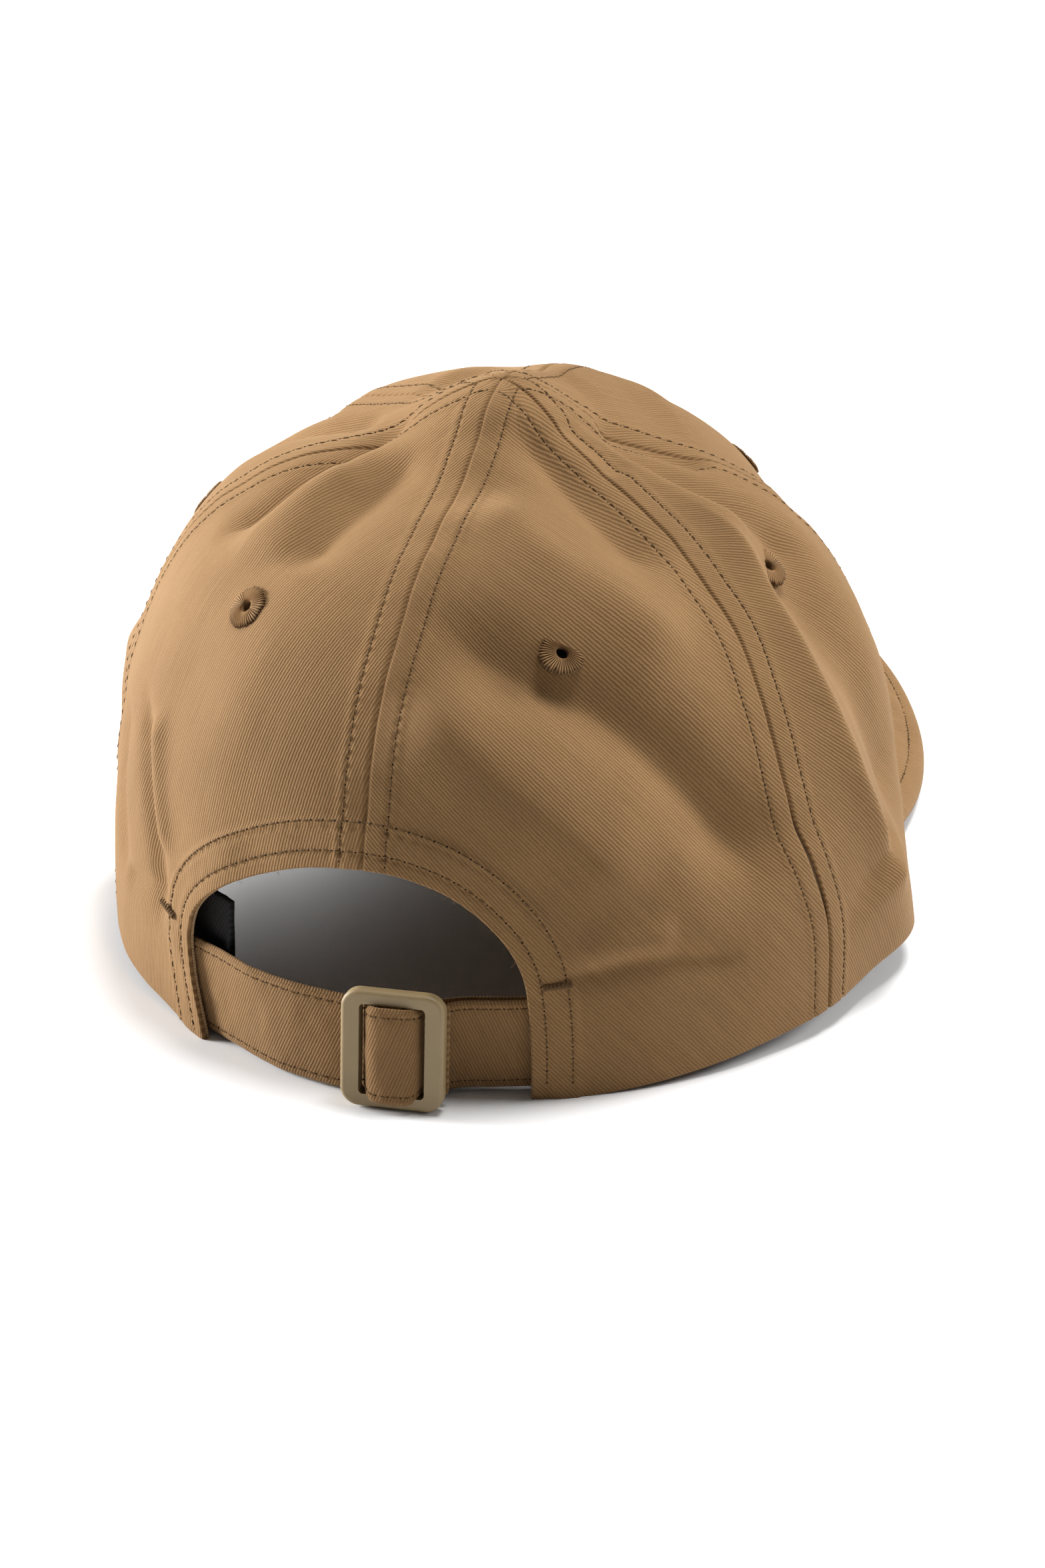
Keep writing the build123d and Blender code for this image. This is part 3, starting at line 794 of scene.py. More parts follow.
def arched_gore(side, rows):
    """Grid of (angle, share) of a back panel: its foot runs along the rim, then up the arch."""
    arch = np.stack([arch_curve[:, 0], ARCH_SHARE], -1)
    top = int(np.argmin(np.abs(arch[:, 0] - seam_angle("back", 50.0))))
    edge = arch[:top + 1] if side < 0 else arch[top:][::-1]
    seam = "rear_right" if side > 0 else "rear_left"
    rim_angles = np.linspace(float(seam_at_share(seam, np.array(0.0))), edge[0, 0], 60)
    rim = np.stack([rim_angles, share_at(rim_angles, rim_height(rim_angles))], -1)
    foot = np.vstack([rim[:-1], edge]) * PATTERN
    total = run_along(foot)[-1]
    run = run_along(foot) / total
    part = spaced(total, 0.95)

    # The panel's threads leave the foot square to it and reach the apex upright
    low = read_line(foot, run, part)
    out = left_of(low) * (1 if side < 0 else -1)
    out = unit(np.stack([out[:, 0], np.maximum(out[:, 1], 0.3)], -1))
    for _ in range(OUT_PASSES):
        out = unit(np.vstack([out[:1], (out[:-2] + out[1:-1] + out[2:]) / 3, out[-1:]]))
    apex = np.stack([rim_angles[0] * (1 - part) * ARC_PER_DEGREE, np.full(len(part), CLIMB_LENGTH)], -1)
    v = (np.linspace(0, 1, rows) ** 1.04)[:, None, None]
    place = ((1 + 2 * v) * (1 - v) ** 2 * low + v * (1 - v) ** 2 * GORE_REACH * out
             + v**2 * (3 - 2 * v) * apex + v**2 * (v - 1) * GORE_REACH * np.array([0.0, 1.0]))

    # Even out the grid over the corner where the rim meets the arch
    corner = int(np.searchsorted(part, run[len(rim) - 1]))
    from_corner = np.abs(np.arange(len(part)) - corner)[None, :, None]
    near = smoothstep(26, 8, from_corner) * smoothstep(0.85, 0.55, v)
    for _ in range(GRID_PASSES):
        middle = (place[:-2, 1:-1] + place[2:, 1:-1] + place[1:-1, :-2] + place[1:-1, 2:]) / 4
        place[1:-1, 1:-1] += near[1:-1, 1:-1] * (middle - place[1:-1, 1:-1])
    angle = place[..., 0] / ARC_PER_DEGREE
    share = np.clip(place[..., 1] / CLIMB_LENGTH, 0, 1)

    # Follow the seams' drift at both sides
    for column, name, weight in ((0, seam, smoothstep(0.30, 0.0, part)),
                                 (-1, "back", smoothstep(0.70, 1.0, part))):
        drift = seam_at_share(name, share[:, column]) - angle[:, column]
        angle = angle + drift[:, None] * weight[None, :]
    return (angle[:, ::-1], share[:, ::-1]) if side > 0 else (angle, share)


def panel(name, angle, share, wale):
    """One crown panel of cloth with turned edges and its eyelet's punched hole.

    Its pattern coordinates are those of the panel laid flat, turned to its wales."""
    outer, normal = cloth_surface(angle, share)
    _, _, radius = crown_at(angle, share)
    across = radius * np.radians(angle - float(np.median(angle)))
    uv = turned(np.stack([across, share * meridian_length(angle)], -1), wale)
    verts, faces, uvs = sheet_geometry(outer, outer - normal * CLOTH_T, uv, roundness=0.55)
    spot = frame_on_crown(*EYELETS[name.replace("panel", "eyelet")])[0]
    near = np.linalg.norm(verts - spot, axis=1) < EYELET_PUNCH_R
    faces = [face for face in faces if not all(near[i] for i in face)]
    make_object(name + "_cloth", (verts, faces, uvs), CROWN_TWILL, "cap", name)


ROWS = 190
panel("panel_back_left", *arched_gore(-1, ROWS), wale=6)
panel("panel_back_right", *arched_gore(1, ROWS), wale=-42)
panel("panel_side_right", *plain_gore("rear_right", "fore_right", ROWS), wale=-33)
panel("panel_front_right", *plain_gore("fore_right", "front", ROWS), wale=5)
panel("panel_front_left", *plain_gore("front_again", "fore_left", ROWS), wale=-42)
panel("panel_side_left", *plain_gore("fore_left", "rear_left", ROWS), wale=5)


# ---------------------------------------------------------------- eyelets
EYELET_THREADS = 44
POINTS_PER_THREAD = 5
# Section of the embroidery, round from the hole over the outside and back inside: (radius, height)
EYELET_SECTION = [(1.35, 0.0), (1.38, 0.45), (1.7, 0.82), (2.5, 0.98), (3.6, 0.92), (4.5, 0.72),
                  (4.95, 0.40), (5.05, 0.12), (4.6, -0.25), (2.1, -0.35), (2.05, -1.0), (4.4, -1.35),
                  (4.9, -1.7), (3.6, -2.05), (1.8, -1.95), (1.36, -1.3)]


def eyelet(name):
    """Embroidered eyelet: radial satin stitches over both faces of the cloth, round an open hole."""
    spot, out, side, up = frame_on_crown(*EYELETS[name])
    count = EYELET_THREADS * POINTS_PER_THREAD
    turn = np.linspace(0, 2 * math.pi, count, endpoint=False)
    thread = 0.5 + 0.5 * np.cos(turn * EYELET_THREADS)
    rng = np.random.default_rng(int(abs(spot[0]) * 10))
    ragged = np.repeat(rng.normal(0, 1, EYELET_THREADS), POINTS_PER_THREAD)
    spread = 0.10 * np.sin(turn * 3 + spot[0]) + 0.17 * ragged
    verts, uvs = [], []
    for radius, height in EYELET_SECTION:
        outward = max(0.0, (radius - 1.4) / 3.6)
        face = 1 if height > 0.1 else -1 if height < -1.2 else 0
        r = (0.92 * radius + 0.11 + spread * outward + thread * 0.3 * outward)[:, None]
        h = (height * 0.68 + (0.34 * thread - 0.17) * face - 0.10 * outward)[:, None]
        ring = side * (r * np.cos(turn)[:, None]) + up * (r * np.sin(turn)[:, None])
        verts.append(spot + out * h + ring)
        uvs.append(np.stack([np.full(count, radius * 2.0), turn * EYELET_THREADS], -1))
    index = np.arange(len(verts) * count).reshape(len(verts), count)
    below = np.roll(index, -1, axis=0)
    faces = np.stack([index, np.roll(index, -1, axis=1), np.roll(below, -1, axis=1), below], -1)
    faces = faces.reshape(-1, 4)[:, ::-1].tolist()
    geometry = np.vstack(verts), faces, np.vstack(uvs)
    make_object(name + "_thread", geometry, EYELET_THREAD, "cap", name)


for name in EYELETS:
    eyelet(name)


# ---------------------------------------------------------------- seam rows, tapes and facing
ARCH_TOP_Z = 50.3
TAPE_HALF = 7
TAPE_T = 0.7
FACING_WIDTH = 10.0
FACING_T = 0.75
FACING_COLUMNS = 13


def clear_rows(rows):
    """Curves and normals of rows, each given as its points, normals and where it is clear."""
    return [(point[clear], normal[clear]) for point, normal, clear in rows]


def seam_row(name, offset):
    """Row of stitches at a distance beside a seam, and where it is clear of the rim and the arch."""
    share = np.linspace(0.004, 1.0, 420)
    middle = seam_at_share(name, share)
    _, _, radius = crown_at(middle, share)
    keep = radius > abs(offset) + 0.05
    angle = signed_turn(middle[keep] + np.degrees(np.arcsin(offset / radius[keep])))
    point, normal = cloth_surface(angle, share[keep])
    clear = point[:, 2] > rim_height(angle) + 1.0
    if name == "back":
        gap, _ = path_distance(point, ARCH_POINTS)
        clear &= (gap > 1.2) & (point[:, 2] > ARCH_TOP_Z)
    return point, normal, clear


def tape(name):
    """Tape that covers a seam inside."""
    rim = float(share_at(NOMINAL[name], rim_height(NOMINAL[name])))
    share = np.linspace(0.40 if name == "back" else rim + 0.012, 0.995, 130)
    middle = seam_at_share(name, share)
    offsets = np.linspace(-TAPE_HALF, TAPE_HALF, 13)[None, :]
    _, _, radius = crown_at(middle, share)
    sine = np.clip(offsets / np.maximum(radius, 1e-3)[:, None], -0.47, 0.47)
    angle = signed_turn(middle[:, None] + np.degrees(np.arcsin(sine)))
    share = np.broadcast_to(share[:, None], sine.shape)
    outer, normal = cloth_surface(angle, share, lift=-CLOTH_T - 0.12, stitched=False)
    uv = turned(np.stack([np.broadcast_to(offsets, sine.shape), share * CLIMB_LENGTH], -1), 90)
    geometry = sheet_geometry(outer, outer - normal * TAPE_T, uv, roundness=0.8)
    make_object("tape_" + name, geometry, TAPE_TWILL, "cap", "seam_tape_" + name)


for name in SEAM_NAMES:
    sewn(name, clear_rows(seam_row(name, offset) for offset in (-SEAM_ROW, SEAM_ROW)), "cap")
for name in SEAM_NAMES:
    tape(name)


def beside_arch(distance):
    """Angles and shares of the line that keeps a distance outside the arch's edge."""
    edge = np.stack([arch_curve[:, 0], ARCH_SHARE], -1) * PATTERN
    line = edge + left_of(edge) * distance
    return line[:, 0] / ARC_PER_DEGREE, np.clip(line[:, 1] / CLIMB_LENGTH, 0.0, 1)


def facing():
    """Facing turned in behind the arch's edge."""
    lines = [beside_arch(distance) for distance in np.linspace(0.15, FACING_WIDTH, FACING_COLUMNS)]
    angle, share = np.stack(lines, -1)
    outer, normal = cloth_surface(angle, share, lift=-CLOTH_T - 0.05, stitched=False)
    run = np.linspace(0, ARCH_LENGTH, len(angle))[:, None]
    width = np.linspace(0, FACING_WIDTH, FACING_COLUMNS)[None, :]
    uv = turned(np.stack(np.broadcast_arrays(width, run), -1), 40)
    geometry = sheet_geometry(outer, outer - normal * FACING_T, uv)
    make_object("facing_cloth", geometry, TAPE_TWILL, "cap", "arch_facing")


def arch_row(distance):
    """Row of stitches at a distance outside the arch's edge, and where it is clear of the floor."""
    line = np.stack(beside_arch(distance), -1)
    fine = read_line(line, np.arange(len(line)), np.linspace(0, len(line) - 1, 700))
    point, normal = cloth_surface(fine[:, 0], fine[:, 1])
    return point, normal, point[:, 2] > 1.2


facing()
sewn("arch", clear_rows(arch_row(distance) for distance in ARCH_ROWS), "cap")


BARTACK_STITCHES = 15
BARTACK_STEP = 0.42


def bartack(name, centre_angle, centre_z, lean):
    """Bar of close zigzag stitches."""
    spot, out, level, up = frame_on_crown(centre_angle, centre_z)
    along = level * math.cos(lean) + up * math.sin(lean)
    over = np.cross(out, along)
    parts = []
    for k in range(BARTACK_STITCHES):
        middle = spot + along * (k - (BARTACK_STITCHES - 1) / 2) * BARTACK_STEP + out * 0.12
        slant = along * 0.16 * (1 if k % 2 else -1)
        t = np.linspace(-1, 1, 9)[:, None]
        curve = middle + (over * 0.85 + slant) * t + out * (0.45 * (1 - t**2))
        normals = np.tile(out, (len(t), 1))
        parts.append(stitch_row(curve, normals, pitch=2.0, length=1.9, radius=0.24, sink=0.2))
    make_object(name + "_thread", joined(parts), SEAM_THREAD, "cap", name)


bartack("bartack_right", 25.2, 26.0, math.radians(4))
bartack("bartack_left", -33.5, 26.0, math.radians(-12))


# ---------------------------------------------------------------- sweatband
# Towards the front the sweatband's lower edge hangs this much lower, below the visor, so its black cloth
# stands in for the shade inside the cap there
SWEATBAND_DROP = 7.0
SWEATBAND_HEIGHT = 32.0
SWEATBAND_INSET = 5.5
SWEATBAND_T = 1.5
SWEATBAND_ENDS = (23.5, 336.5)
SWEATBAND_ROWS = (0.08, 0.90)


def band_surface(angle, z, inset):
    """Point and outward normal inside the crown at a height, following its broad shape only."""
    point, normal, _ = crown_at(angle, share_at(angle, z))
    return point + normal * (0.45 * folds_at(point) - inset)[..., None], normal


def sweatband():
    """Sweatband from one side of the arch round the front to the other, with its two stitch rows."""
    angle = signed_turn(np.linspace(*SWEATBAND_ENDS, 330))
    rim = rim_height(angle)
    x, y = foot_plan(angle)
    low = np.where(y < RIM_JOIN_Y, visor_top(x, y) - VISOR_T, rim + 0.3)
    # Painted shade: at the front the band hangs below the visor, black cloth in place of shade
    low = np.maximum(low - SWEATBAND_DROP * smoothstep(-35, -75, y), 0.3)
    part = np.linspace(0, 1, 26)[:, None]
    height = low + (rim + SWEATBAND_HEIGHT - low) * part
    grid = np.broadcast_to(angle, height.shape)
    outer, normal = band_surface(grid, height, SWEATBAND_INSET)
    ribs = 0.25 * np.sin(grid * 1.9) * bell(part - 0.9, 0.12)
    inner = outer - normal * (SWEATBAND_T + ribs)[..., None]
    uv = turned(np.stack([np.radians(grid) * 90.0, height], -1), 35)
    geometry = sheet_geometry(outer[:, ::-1], inner[:, ::-1], uv[:, ::-1])
    make_object("sweatband_cloth", geometry, BAND_TWILL, "cap", "sweatband")
    rows = []
    for level in SWEATBAND_ROWS:
        line = low + (rim + SWEATBAND_HEIGHT - low) * level
        edge, out = band_surface(angle, line, SWEATBAND_INSET + SWEATBAND_T)
        rows.append(stitch_row(edge, -out, pitch=3.2, length=2.4))
    make_object("stitches_sweatband", joined(rows), BAND_THREAD, "cap")


sweatband()


# ---------------------------------------------------------------- visor
VISOR_INNER_R = 90.6
VISOR_TAIL = (-79.5, -44.0)
VISOR_COLUMNS = 300
VISOR_FLAT_ROWS = 96
VISOR_TURN_ROWS = 7
VISOR_ROWS = (4.0, 13.0, 22.0, 31.0, 40.0, 49.0, 58.0)
VISOR_PITCH = 3.0
VISOR_EDGE_LENGTH = 420.0
VISOR_COVER_T = 0.75
VISOR_GROOVE = 0.42


def visor_edge(count):
    """Plan of the visor's free edge from the wearer's right tail round the front to the left."""
    turn = np.linspace(0, math.pi, 400)
    x = -VISOR_HALF_W * np.sign(np.cos(turn)) * np.abs(np.cos(turn)) ** (2 / VISOR_POWER)
    y = VISOR_WIDEST_Y - (VISOR_REACH + VISOR_WIDEST_Y) * np.abs(np.sin(turn)) ** (2 / VISOR_POWER)
    tail = np.array([VISOR_TAIL])
    return even_path(np.vstack([tail, np.stack([x, y], -1), tail * (-1, 1)]), count)


def visor_cover(name, upper, replaced):
    """Twill cover of one face of the visor, turned over the board's edge to half its thickness."""
    half = VISOR_T / 2
    edge = visor_edge(VISOR_COLUMNS)
    out = -left_of(edge)
    turn = np.arctan2(-edge[:, 0], edge[:, 1])
    turn = np.linspace(turn[0], turn[-1] + 2 * math.pi, VISOR_COLUMNS)
    root = np.stack([-np.sin(turn), np.cos(turn)], -1) * VISOR_INNER_R

    # Rows from the root to the edge, then a few more round it
    part = np.concatenate([np.linspace(0, 1, VISOR_FLAT_ROWS), np.linspace(1, 2, VISOR_TURN_ROWS + 1)[1:]])
    flat = np.clip(part, 0, 1)[:, None, None]
    bend = np.clip(part - 1, 0, 1)[:, None] * math.pi / 2
    plan = root * (1 - flat) + (edge - out * half) * flat
    plan = plan + out * (half * np.sin(bend))[..., None]
    drop = half * (1 - np.cos(bend))
    x, y = plan[..., 0], plan[..., 1]

    gap, along = path_distance(plan, edge)
    rise = 0.22 * ripple(x, y, 4.0, 13.0) * smoothstep(0, 6, gap)
    for row in VISOR_ROWS:
        stitched = beat(along * VISOR_EDGE_LENGTH, 0.35, VISOR_PITCH)
        rise = rise - VISOR_GROOVE * stitched * bell(gap - row, 0.8)
        pucker = ripple(along * 90.0, row, 6.0)
        rise = rise + 0.16 * pucker * np.exp(-np.abs(gap - row - 2.0) / 2.5)
    rise = rise * smoothstep(1.0, 0.6, bend) - 0.35 * smoothstep(1.25, 1.57, bend)
    top = visor_top(x, y)
    z = top - drop + rise if upper else top - VISOR_T + drop - rise
    outer = np.stack([x, y, z], -1)

    # The cloth's thickness is square to it, but upright at the tails
    facing_up = 1 if upper else -1
    slope = unit(np.cross(np.gradient(outer, axis=1), np.gradient(outer, axis=0)))
    slope = slope * (np.sign(slope[20, VISOR_COLUMNS // 2, 2]) * facing_up)
    column = np.arange(VISOR_COLUMNS)
    tail = smoothstep(12, 2, np.minimum(column, column[::-1]))[None, :, None]
    inner = outer - unit(slope * (1 - tail) + UP * facing_up * tail) * VISOR_COVER_T
    uv = turned(np.stack([x, y], -1), 42 * facing_up)
    if upper:
        outer, inner, uv = outer[:, ::-1], inner[:, ::-1], uv[:, ::-1]
    geometry = sheet_geometry(outer, inner, uv, roundness=0.4)
    make_object(name, geometry, CROWN_TWILL, "cap", replaced)


def visor_rows(name, upper):
    """Rows of stitches that follow the visor's edge, kept to the part outside the crown."""
    lines = []
    edge = visor_edge(1600)
    out = -left_of(edge)
    crown_radius = 97.0 if upper else 92.5
    for row in VISOR_ROWS:
        line = edge - out * row
        gap, _ = path_distance(line[::2], edge[::8])
        gap = np.interp(np.arange(len(line)), np.arange(len(line))[::2], gap)
        line = line[(np.hypot(line[:, 0], line[:, 1]) > crown_radius) & (gap > row - 0.3)]
        if len(line) < 20:
            continue
        z = visor_top(line[:, 0], line[:, 1]) + (-0.28 if upper else 0.28 - VISOR_T)
        lines.append((np.column_stack([line, z]), np.tile(UP if upper else -UP, (len(line), 1))))
    sewn(name, lines, "cap", pitch=VISOR_PITCH, length=2.3)


visor_cover("visor_top_cloth", True, "visor_top_cover")
visor_cover("visor_under_cloth", False, "visor_under_cover")
visor_rows("visor_top", True)
visor_rows("visor_under", False)


# ---------------------------------------------------------------- strap, keeper tab and hump
STRAP_Z = 11.4
STRAP_HALF = 10.0
STRAP_T = 1.25
STRAP_WALE = 66
STRAP_ROW = 1.5
# Radius of the strap and of the keeper tab by angle
STRAP_RADIUS = [(-34, 91.9), (-25, 92.0), (-20, 93.2), (-15, 95.0), (-10, 96.3), (-5, 97.0),
                (0, 97.2), (4, 96.6), (8, 95.2), (11, 93.1), (12.5, 92.1), (14, 91.75), (32, 91.75)]
TAB_RADIUS = [(7.4, 97.6), (9.0, 97.0), (11.0, 95.3), (12.5, 94.0), (13.5, 93.45), (15.0, 93.15),
              (44, 93.15)]
# Angles of each half: its ends at the crown and at the bar, and where its bending starts and stops
STRAP_HALVES = {"left": (-34, 5.3, -30, -4), "right": (32, 5.1, 30, 14)}
TAB_HALF = 9.9
TAB_T = 1.0
HUMP_HALF = 9.6
HUMP_T = 1.1
HUMP_Z = 12.9
BAR_ANGLE = 5.2
BAR_RADIUS = 100.75
BUCKLE_Z = 13.2
BUCKLE_LEAN = math.radians(6.0)
HUMP_SHIFT = (HUMP_Z - BUCKLE_Z) / math.cos(BUCKLE_LEAN)


def round_band(path, out, half_height, middle, thick, up=UP, bow=0.0, seed=0.0, flare=None, lean=None):
    """Folded band of twill along a path, with full rounded long edges.

    flare scales its height along the path and lean tips its top inwards, both one value for each
    point. Returns the sheet, and for the stitch rows the function that gives its outside surface."""
    flare = np.ones(len(path)) if flare is None else flare
    lean = np.zeros(len(path)) if lean is None else lean
    run = run_along(path)[:, None]
    edges = np.array([0.92, 0.955, 0.985, 1])
    places = np.concatenate([-edges[::-1], np.linspace(-0.87, 0.87, 30), edges])

    def surface(place):
        height = place[None, :] * half_height * flare[:, None]
        point = path[:, None, :] + up * (height + middle)[..., None]
        point = point - out[:, None, :] * (lean[:, None] * place[None, :])[..., None]
        at = np.stack(np.broadcast_arrays(run, height, seed), -1)
        rise = 0.20 * soft_noise(at, 9.0, 2.0 + seed) + 0.10 * soft_noise(at, 3.4, 6.0)
        rise = rise + bow * (1 - place[None, :] ** 2)
        from_edge = half_height * (1 - np.abs(place))[None, :]
        rise = rise - 0.30 * beat(run, 0.4, STITCH_PITCH) * bell(from_edge - STRAP_ROW, 0.6)
        rise = rise - 0.35 * smoothstep(0.55, 0.0, from_edge)
        return point + out[:, None, :] * rise[..., None]

    outer = surface(places)
    squeeze = 0.35 * smoothstep(0.93, 1.0, np.abs(places))
    inner = outer - out[:, None, :] * thick + out[:, None, :] * squeeze[None, :, None]
    uv = np.stack(np.broadcast_arrays(places[None, :] * half_height, run), -1)
    return sheet_geometry(outer, inner, turned(uv, STRAP_WALE)), surface


def around(angles, radius, z=0.0):
    """Points at angles round the crown's axis, and their outward directions."""
    turn = np.radians(angles)
    out = np.stack([-np.sin(turn), np.cos(turn), 0 * turn], -1)
    return out * np.reshape(radius, (-1, 1)) + UP * z, out


def band_rows(surface, half_height, out, keep=slice(None)):
    """Curves and normals of both stitch rows of a band."""
    lines = []
    for side in (-1, 1):
        line = surface(np.array([side * (1 - STRAP_ROW / half_height)]))[keep, 0]
        run = np.arange(len(line))
        fine = np.linspace(0, len(line) - 1, 6 * len(line))
        lines.append((read_line(line, run, fine), read_line(out[keep], run, fine)))
    return lines


def strap(side):
    """Half of the adjuster strap, from the crown to the buckle's bar, where it hangs a touch lower.

    Its far end is sewn to the crown."""
    sewn_end, bar_end, held, carried = STRAP_HALVES[side]
    angles = np.linspace(min(sewn_end, bar_end), max(sewn_end, bar_end), 84)
    path, out = around(angles, glide(angles, STRAP_RADIUS))
    lean = 1.3 * bell(angles + 4, 9.0)
    middle = STRAP_Z - 0.35 * bell(angles, 16.0)[:, None]
    band, surface = round_band(path, out, STRAP_HALF, middle, STRAP_T, bow=0.25, lean=lean)
    cloth = make_object("strap_cloth_" + side, band, STRAP_TWILL, None, "adjust_strap")
    threads = sewn("strap_" + side, band_rows(surface, STRAP_HALF, out), None)
    for piece in [cloth] + threads:
        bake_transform(piece)


# The buckle's own directions and the middle of its bar
(BUCKLE_MIDDLE,), (bar_out,) = around(np.array([BAR_ANGLE]), BAR_RADIUS, BUCKLE_Z)
BUCKLE_OUT = bar_out * math.cos(BUCKLE_LEAN) + UP * math.sin(BUCKLE_LEAN)
BUCKLE_SIDE = np.cross(UP, bar_out)
BUCKLE_UP = np.cross(BUCKLE_OUT, BUCKLE_SIDE)


def off_bar(points):
    """Plane vectors (sideways, outwards) turned to the buckle's directions."""
    return points[:, :1] * BUCKLE_SIDE + points[:, 1:2] * BUCKLE_OUT


def rounded(keys, radius, steps=9):
    """Polyline through the keys with rounded corners."""
    keys = np.asarray(keys, float)
    out = [keys[0]]
    for before, corner, after in zip(keys[:-2], keys[1:-1], keys[2:]):
        a = unit(before - corner)
        b = unit(after - corner)
        reach = min(radius, np.linalg.norm(before - corner) / 2, np.linalg.norm(after - corner) / 2)
        for t in np.linspace(0, 1, steps):
            out.append(corner + a * reach * (1 - t) ** 2 + b * reach * t**2)
    out.append(keys[-1])
    return np.array(out)


def hump():
    """Stretch of strap that humps over the bar and dives under the frame on both sides."""
    under = -2.35
    right = [(3.6, 3.35), (5.7, 1.9), (6.5, under), (10.8, under - 0.2)]
    left = [(-sideways, outwards) for sideways, outwards in reversed(right)]
    section = even_path(rounded(left + [(0, 3.6)] + right, 2.2), 120)
    flare = 1 + 0.085 * smoothstep(0.2, 3.4, section[:, 1])
    middle = HUMP_SHIFT - 5.0 * (flare[:, None] - 1)
    out = off_bar(left_of(section))
    band, surface = round_band(BUCKLE_MIDDLE + off_bar(section), out, HUMP_HALF, middle, HUMP_T,
                               up=BUCKLE_UP, seed=3.0, flare=flare)
    make_object("hump_cloth", band, STRAP_TWILL, "slider", "strap_bridge")
    sewn("hump", band_rows(surface, HUMP_HALF, out), "slider")


def softened(values, first, last, weight):
    """Values from first up to last, each averaged with both neighbours."""
    middle = values[first:last] * weight
    return (values[first - 1:last - 1] + middle + values[first + 1:last + 1]) / (2 + weight)


def tab():
    """Keeper tab: from inside the crown to a loop closed round the buckle's bar."""
    angles = np.linspace(44, BAR_ANGLE + 2.0, 90)
    path, out = around(angles, glide(angles, TAB_RADIUS, 1.0), STRAP_Z)
    loop = [(2.6, -3.2), (2.6, -1.2), (2.2, 1.5), (0.0, 1.9), (-2.2, 1.5), (-2.6, -0.2), (-2.1, -1.9),
            (0.4, -2.2)]
    loop = even_path(rounded(loop, 1.1), 60)
    join = len(path) - 3
    path = np.vstack([path[:join], BUCKLE_MIDDLE + off_bar(loop) + BUCKLE_UP * HUMP_SHIFT])
    out = np.vstack([out[:join], -off_bar(left_of(loop))])

    # Ease the bend where the straight part meets the loop
    for _ in range(6):
        out[join - 7:join + 8] = unit(softened(out, join - 7, join + 8, 1))
        path[join - 5:join + 5] = softened(path, join - 5, join + 5, 2)
    flare = 1 - 0.07 * smoothstep(join - 11, join + 1, np.arange(len(path)))
    band, surface = round_band(path, out, TAB_HALF, 0 * out[:, :1], TAB_T, seed=7.0, flare=flare)
    make_object("tab_cloth", band, STRAP_TWILL, "slider", "keeper_tab")
    sewn("tab", band_rows(surface, TAB_HALF, out, keep=slice(join - 3)), "slider")


strap("left")
strap("right")
hump()
tab()

for node, material in (("tri_glide_buckle", BUCKLE_PLASTIC), ("visor_board", BOARD_FIBRE)):
    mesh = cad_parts[node].data
    mesh.materials.clear()
    mesh.materials.append(material)


# ---------------------------------------------------------------- loose fibres at the arch's edge
FIBRES = 34


def fibres():
    """A few loose fibres that stand off the arch's edge."""
    parts = []
    rng = np.random.default_rng(7)
    for _ in range(FIBRES):
        i = int(rng.integers(6, 154))
        spot, normal = cloth_surface(arch_curve[i:i + 1, 0], ARCH_SHARE[i:i + 1], stitched=False)
        spot, normal = spot[0], normal[0]
        inward = unit(np.array([0, 0, 26.0]) - spot * (1, 0, 1)) * (1, 0.1, 1)
        lean = unit(inward + rng.normal(0, 0.5, 3))
        length = rng.uniform(0.8, 2.2)
        t = np.linspace(0, 1, 10)[:, None]
        curl = np.cross(lean, normal) * rng.normal(0, 0.5)
        curve = spot - normal * 0.4 + lean * length * t + curl * length * t**2
        normals = np.tile(normal, (len(t), 1))
        parts.append(stitch_row(curve, normals, length, length * 0.98, radius=0.035, sink=0.0))
    make_object("loose_fibres", joined(filter(None, parts)), CROWN_TWILL, "cap")


fibres()


# ---------------------------------------------------------------- floor, light and camera
SWEEP_HALF = 6.0
SWEEP_BACK = -1.4
SWEEP_BEND_R = 1.2
SWEEP_TOP = 5.0


def floor():
    """Seamless white sweep under and behind the cap, in metres."""
    white = Recipe("studio_white")
    tone = white.noise(white.add("TexCoord", {}, "Object"), 2.0)
    run = [(SWEEP_HALF, 0.0), (SWEEP_BACK, 0.0)]
    for a in np.linspace(0.1, math.pi / 2, 14):
        run.append((SWEEP_BACK - SWEEP_BEND_R * math.sin(a), SWEEP_BEND_R * (1 - math.cos(a))))
    run.append((SWEEP_BACK - SWEEP_BEND_R, SWEEP_TOP))
    verts = [(x, y, z) for y, z in run for x in (-SWEEP_HALF, SWEEP_HALF)]
    faces = [(k, k + 2, k + 3, k + 1) for k in range(0, len(verts) - 2, 2)]
    mesh = bpy.data.meshes.new("studio_sweep")
    mesh.from_pydata(verts, [], faces)
    mesh.materials.append(white.finish(tone, (0.96, 0.96, 0.96), (0.93, 0.93, 0.935), 0.6, 0.2))
    mesh.shade_smooth()
    placed("studio_sweep", mesh)


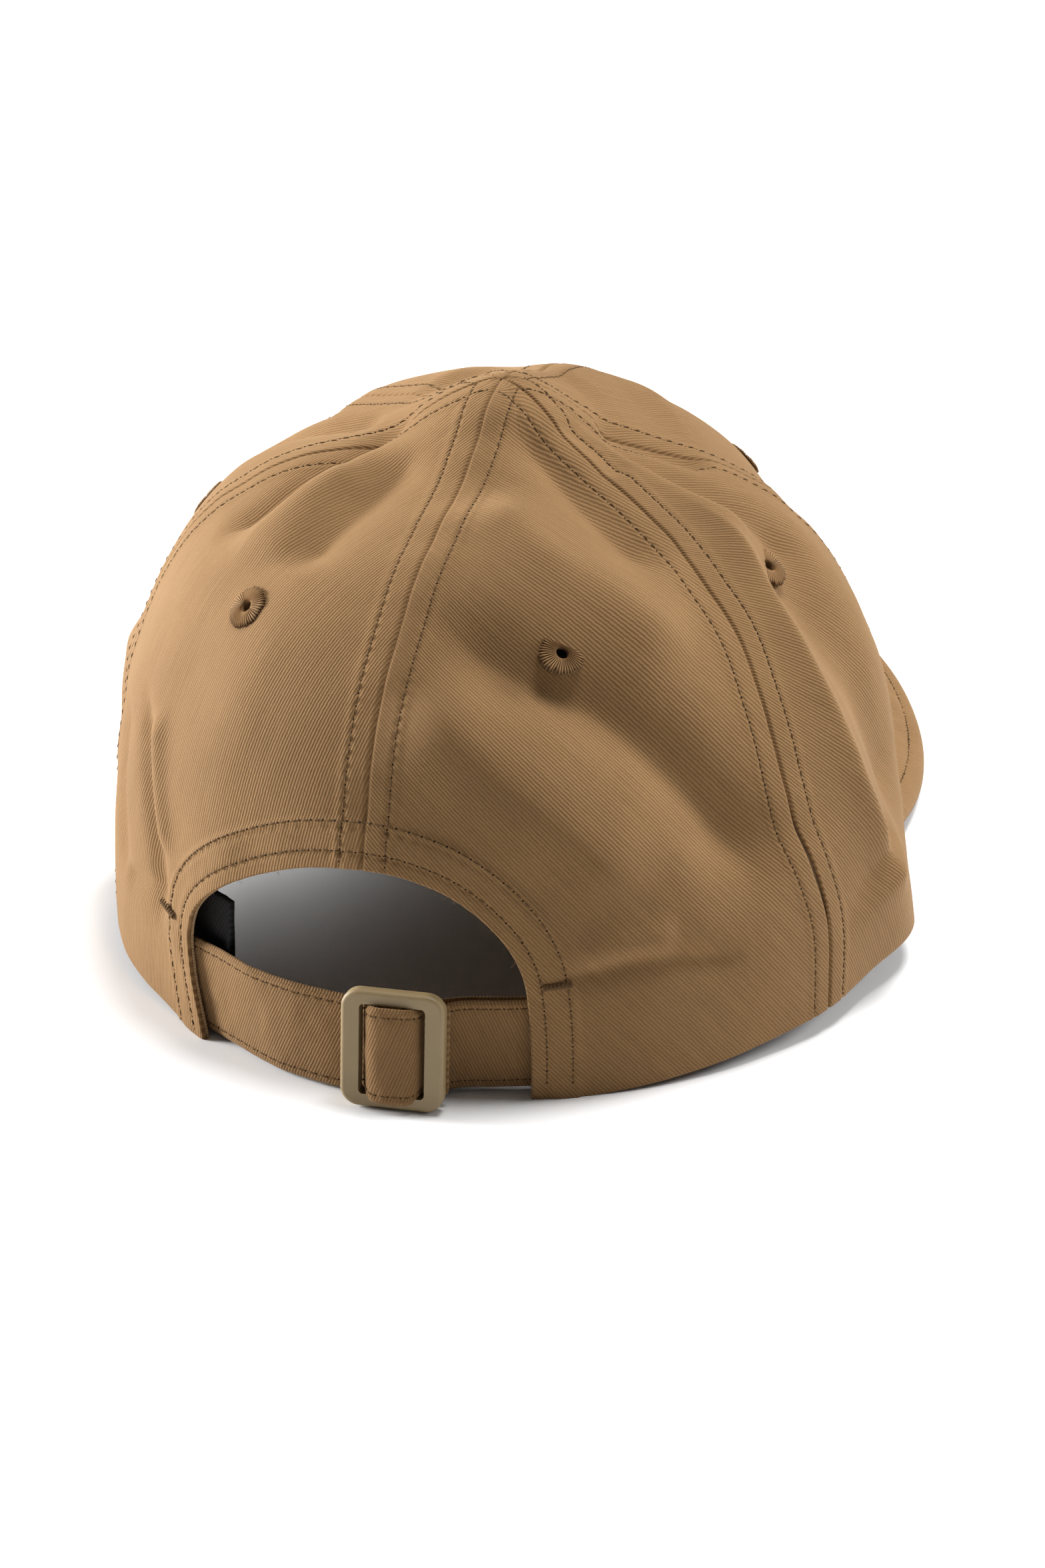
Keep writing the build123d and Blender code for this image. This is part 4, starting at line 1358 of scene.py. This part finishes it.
def aim(thing, place, target):
    """Put a lamp or camera at a place, looking at a target."""
    thing.location = place
    thing.rotation_euler = (Vector(target) - Vector(place)).to_track_quat("-Z", "Y").to_euler()


def lamp(name, place, target, size, power):
    """Round soft box aimed at a point."""
    data = bpy.data.lights.new(name, "AREA")
    data.shape = "DISK"
    data.size = size
    data.energy = power
    aim(placed(name, data), place, target)


def studio_world():
    """Surroundings that are white behind the cap and dark behind the camera."""
    world = bpy.data.worlds.new("studio")
    world.use_nodes = True
    nodes, links = world.node_tree.nodes, world.node_tree.links
    coordinate = nodes.new("ShaderNodeTexCoord")
    split = nodes.new("ShaderNodeSeparateXYZ")
    ramp = nodes.new("ShaderNodeMapRange")
    ramp.interpolation_type = "SMOOTHSTEP"
    for index, value in ((1, -0.65), (2, 0.25), (3, 1.0), (4, 0.07)):
        ramp.inputs[index].default_value = value
    links.new(coordinate.outputs["Generated"], split.inputs[0])
    links.new(split.outputs[1], ramp.inputs[0])
    links.new(ramp.outputs[0], nodes["Background"].inputs["Strength"])
    nodes["Background"].inputs["Color"].default_value = (1, 1, 1, 1)
    bpy.context.scene.world = world


CAP_MIDDLE = (0.0, 0.0, 0.06)
floor()
lamp("left", (1.30, 0.09, 0.34), CAP_MIDDLE, 0.5, 37.0)
lamp("right", (-1.15, -0.75, 0.70), CAP_MIDDLE, 0.6, 17.0)
lamp("top", (-0.22, -0.30, 1.5), CAP_MIDDLE, 0.6, 25.0)
# Stands for the light that creeps under the raised rim at the wearer's left
lamp("under_rim", (0.064, -0.026, 0.030), (0.074, 0.012, 0.0), 0.014, 0.005)
studio_world()

CAMERA_PLACE = (-0.246, 0.742, 0.3781)
CAMERA_TARGET = (-0.0252, 0.0626, 0.060)
view = bpy.data.cameras.new("camera")
view.lens = 85.0
view.sensor_width = 36.0
camera = placed("camera", view)
aim(camera, CAMERA_PLACE, CAMERA_TARGET)
bpy.context.scene.camera = camera
bpy.context.scene.view_settings.view_transform = "Standard"

bpy.context.view_layer.update()
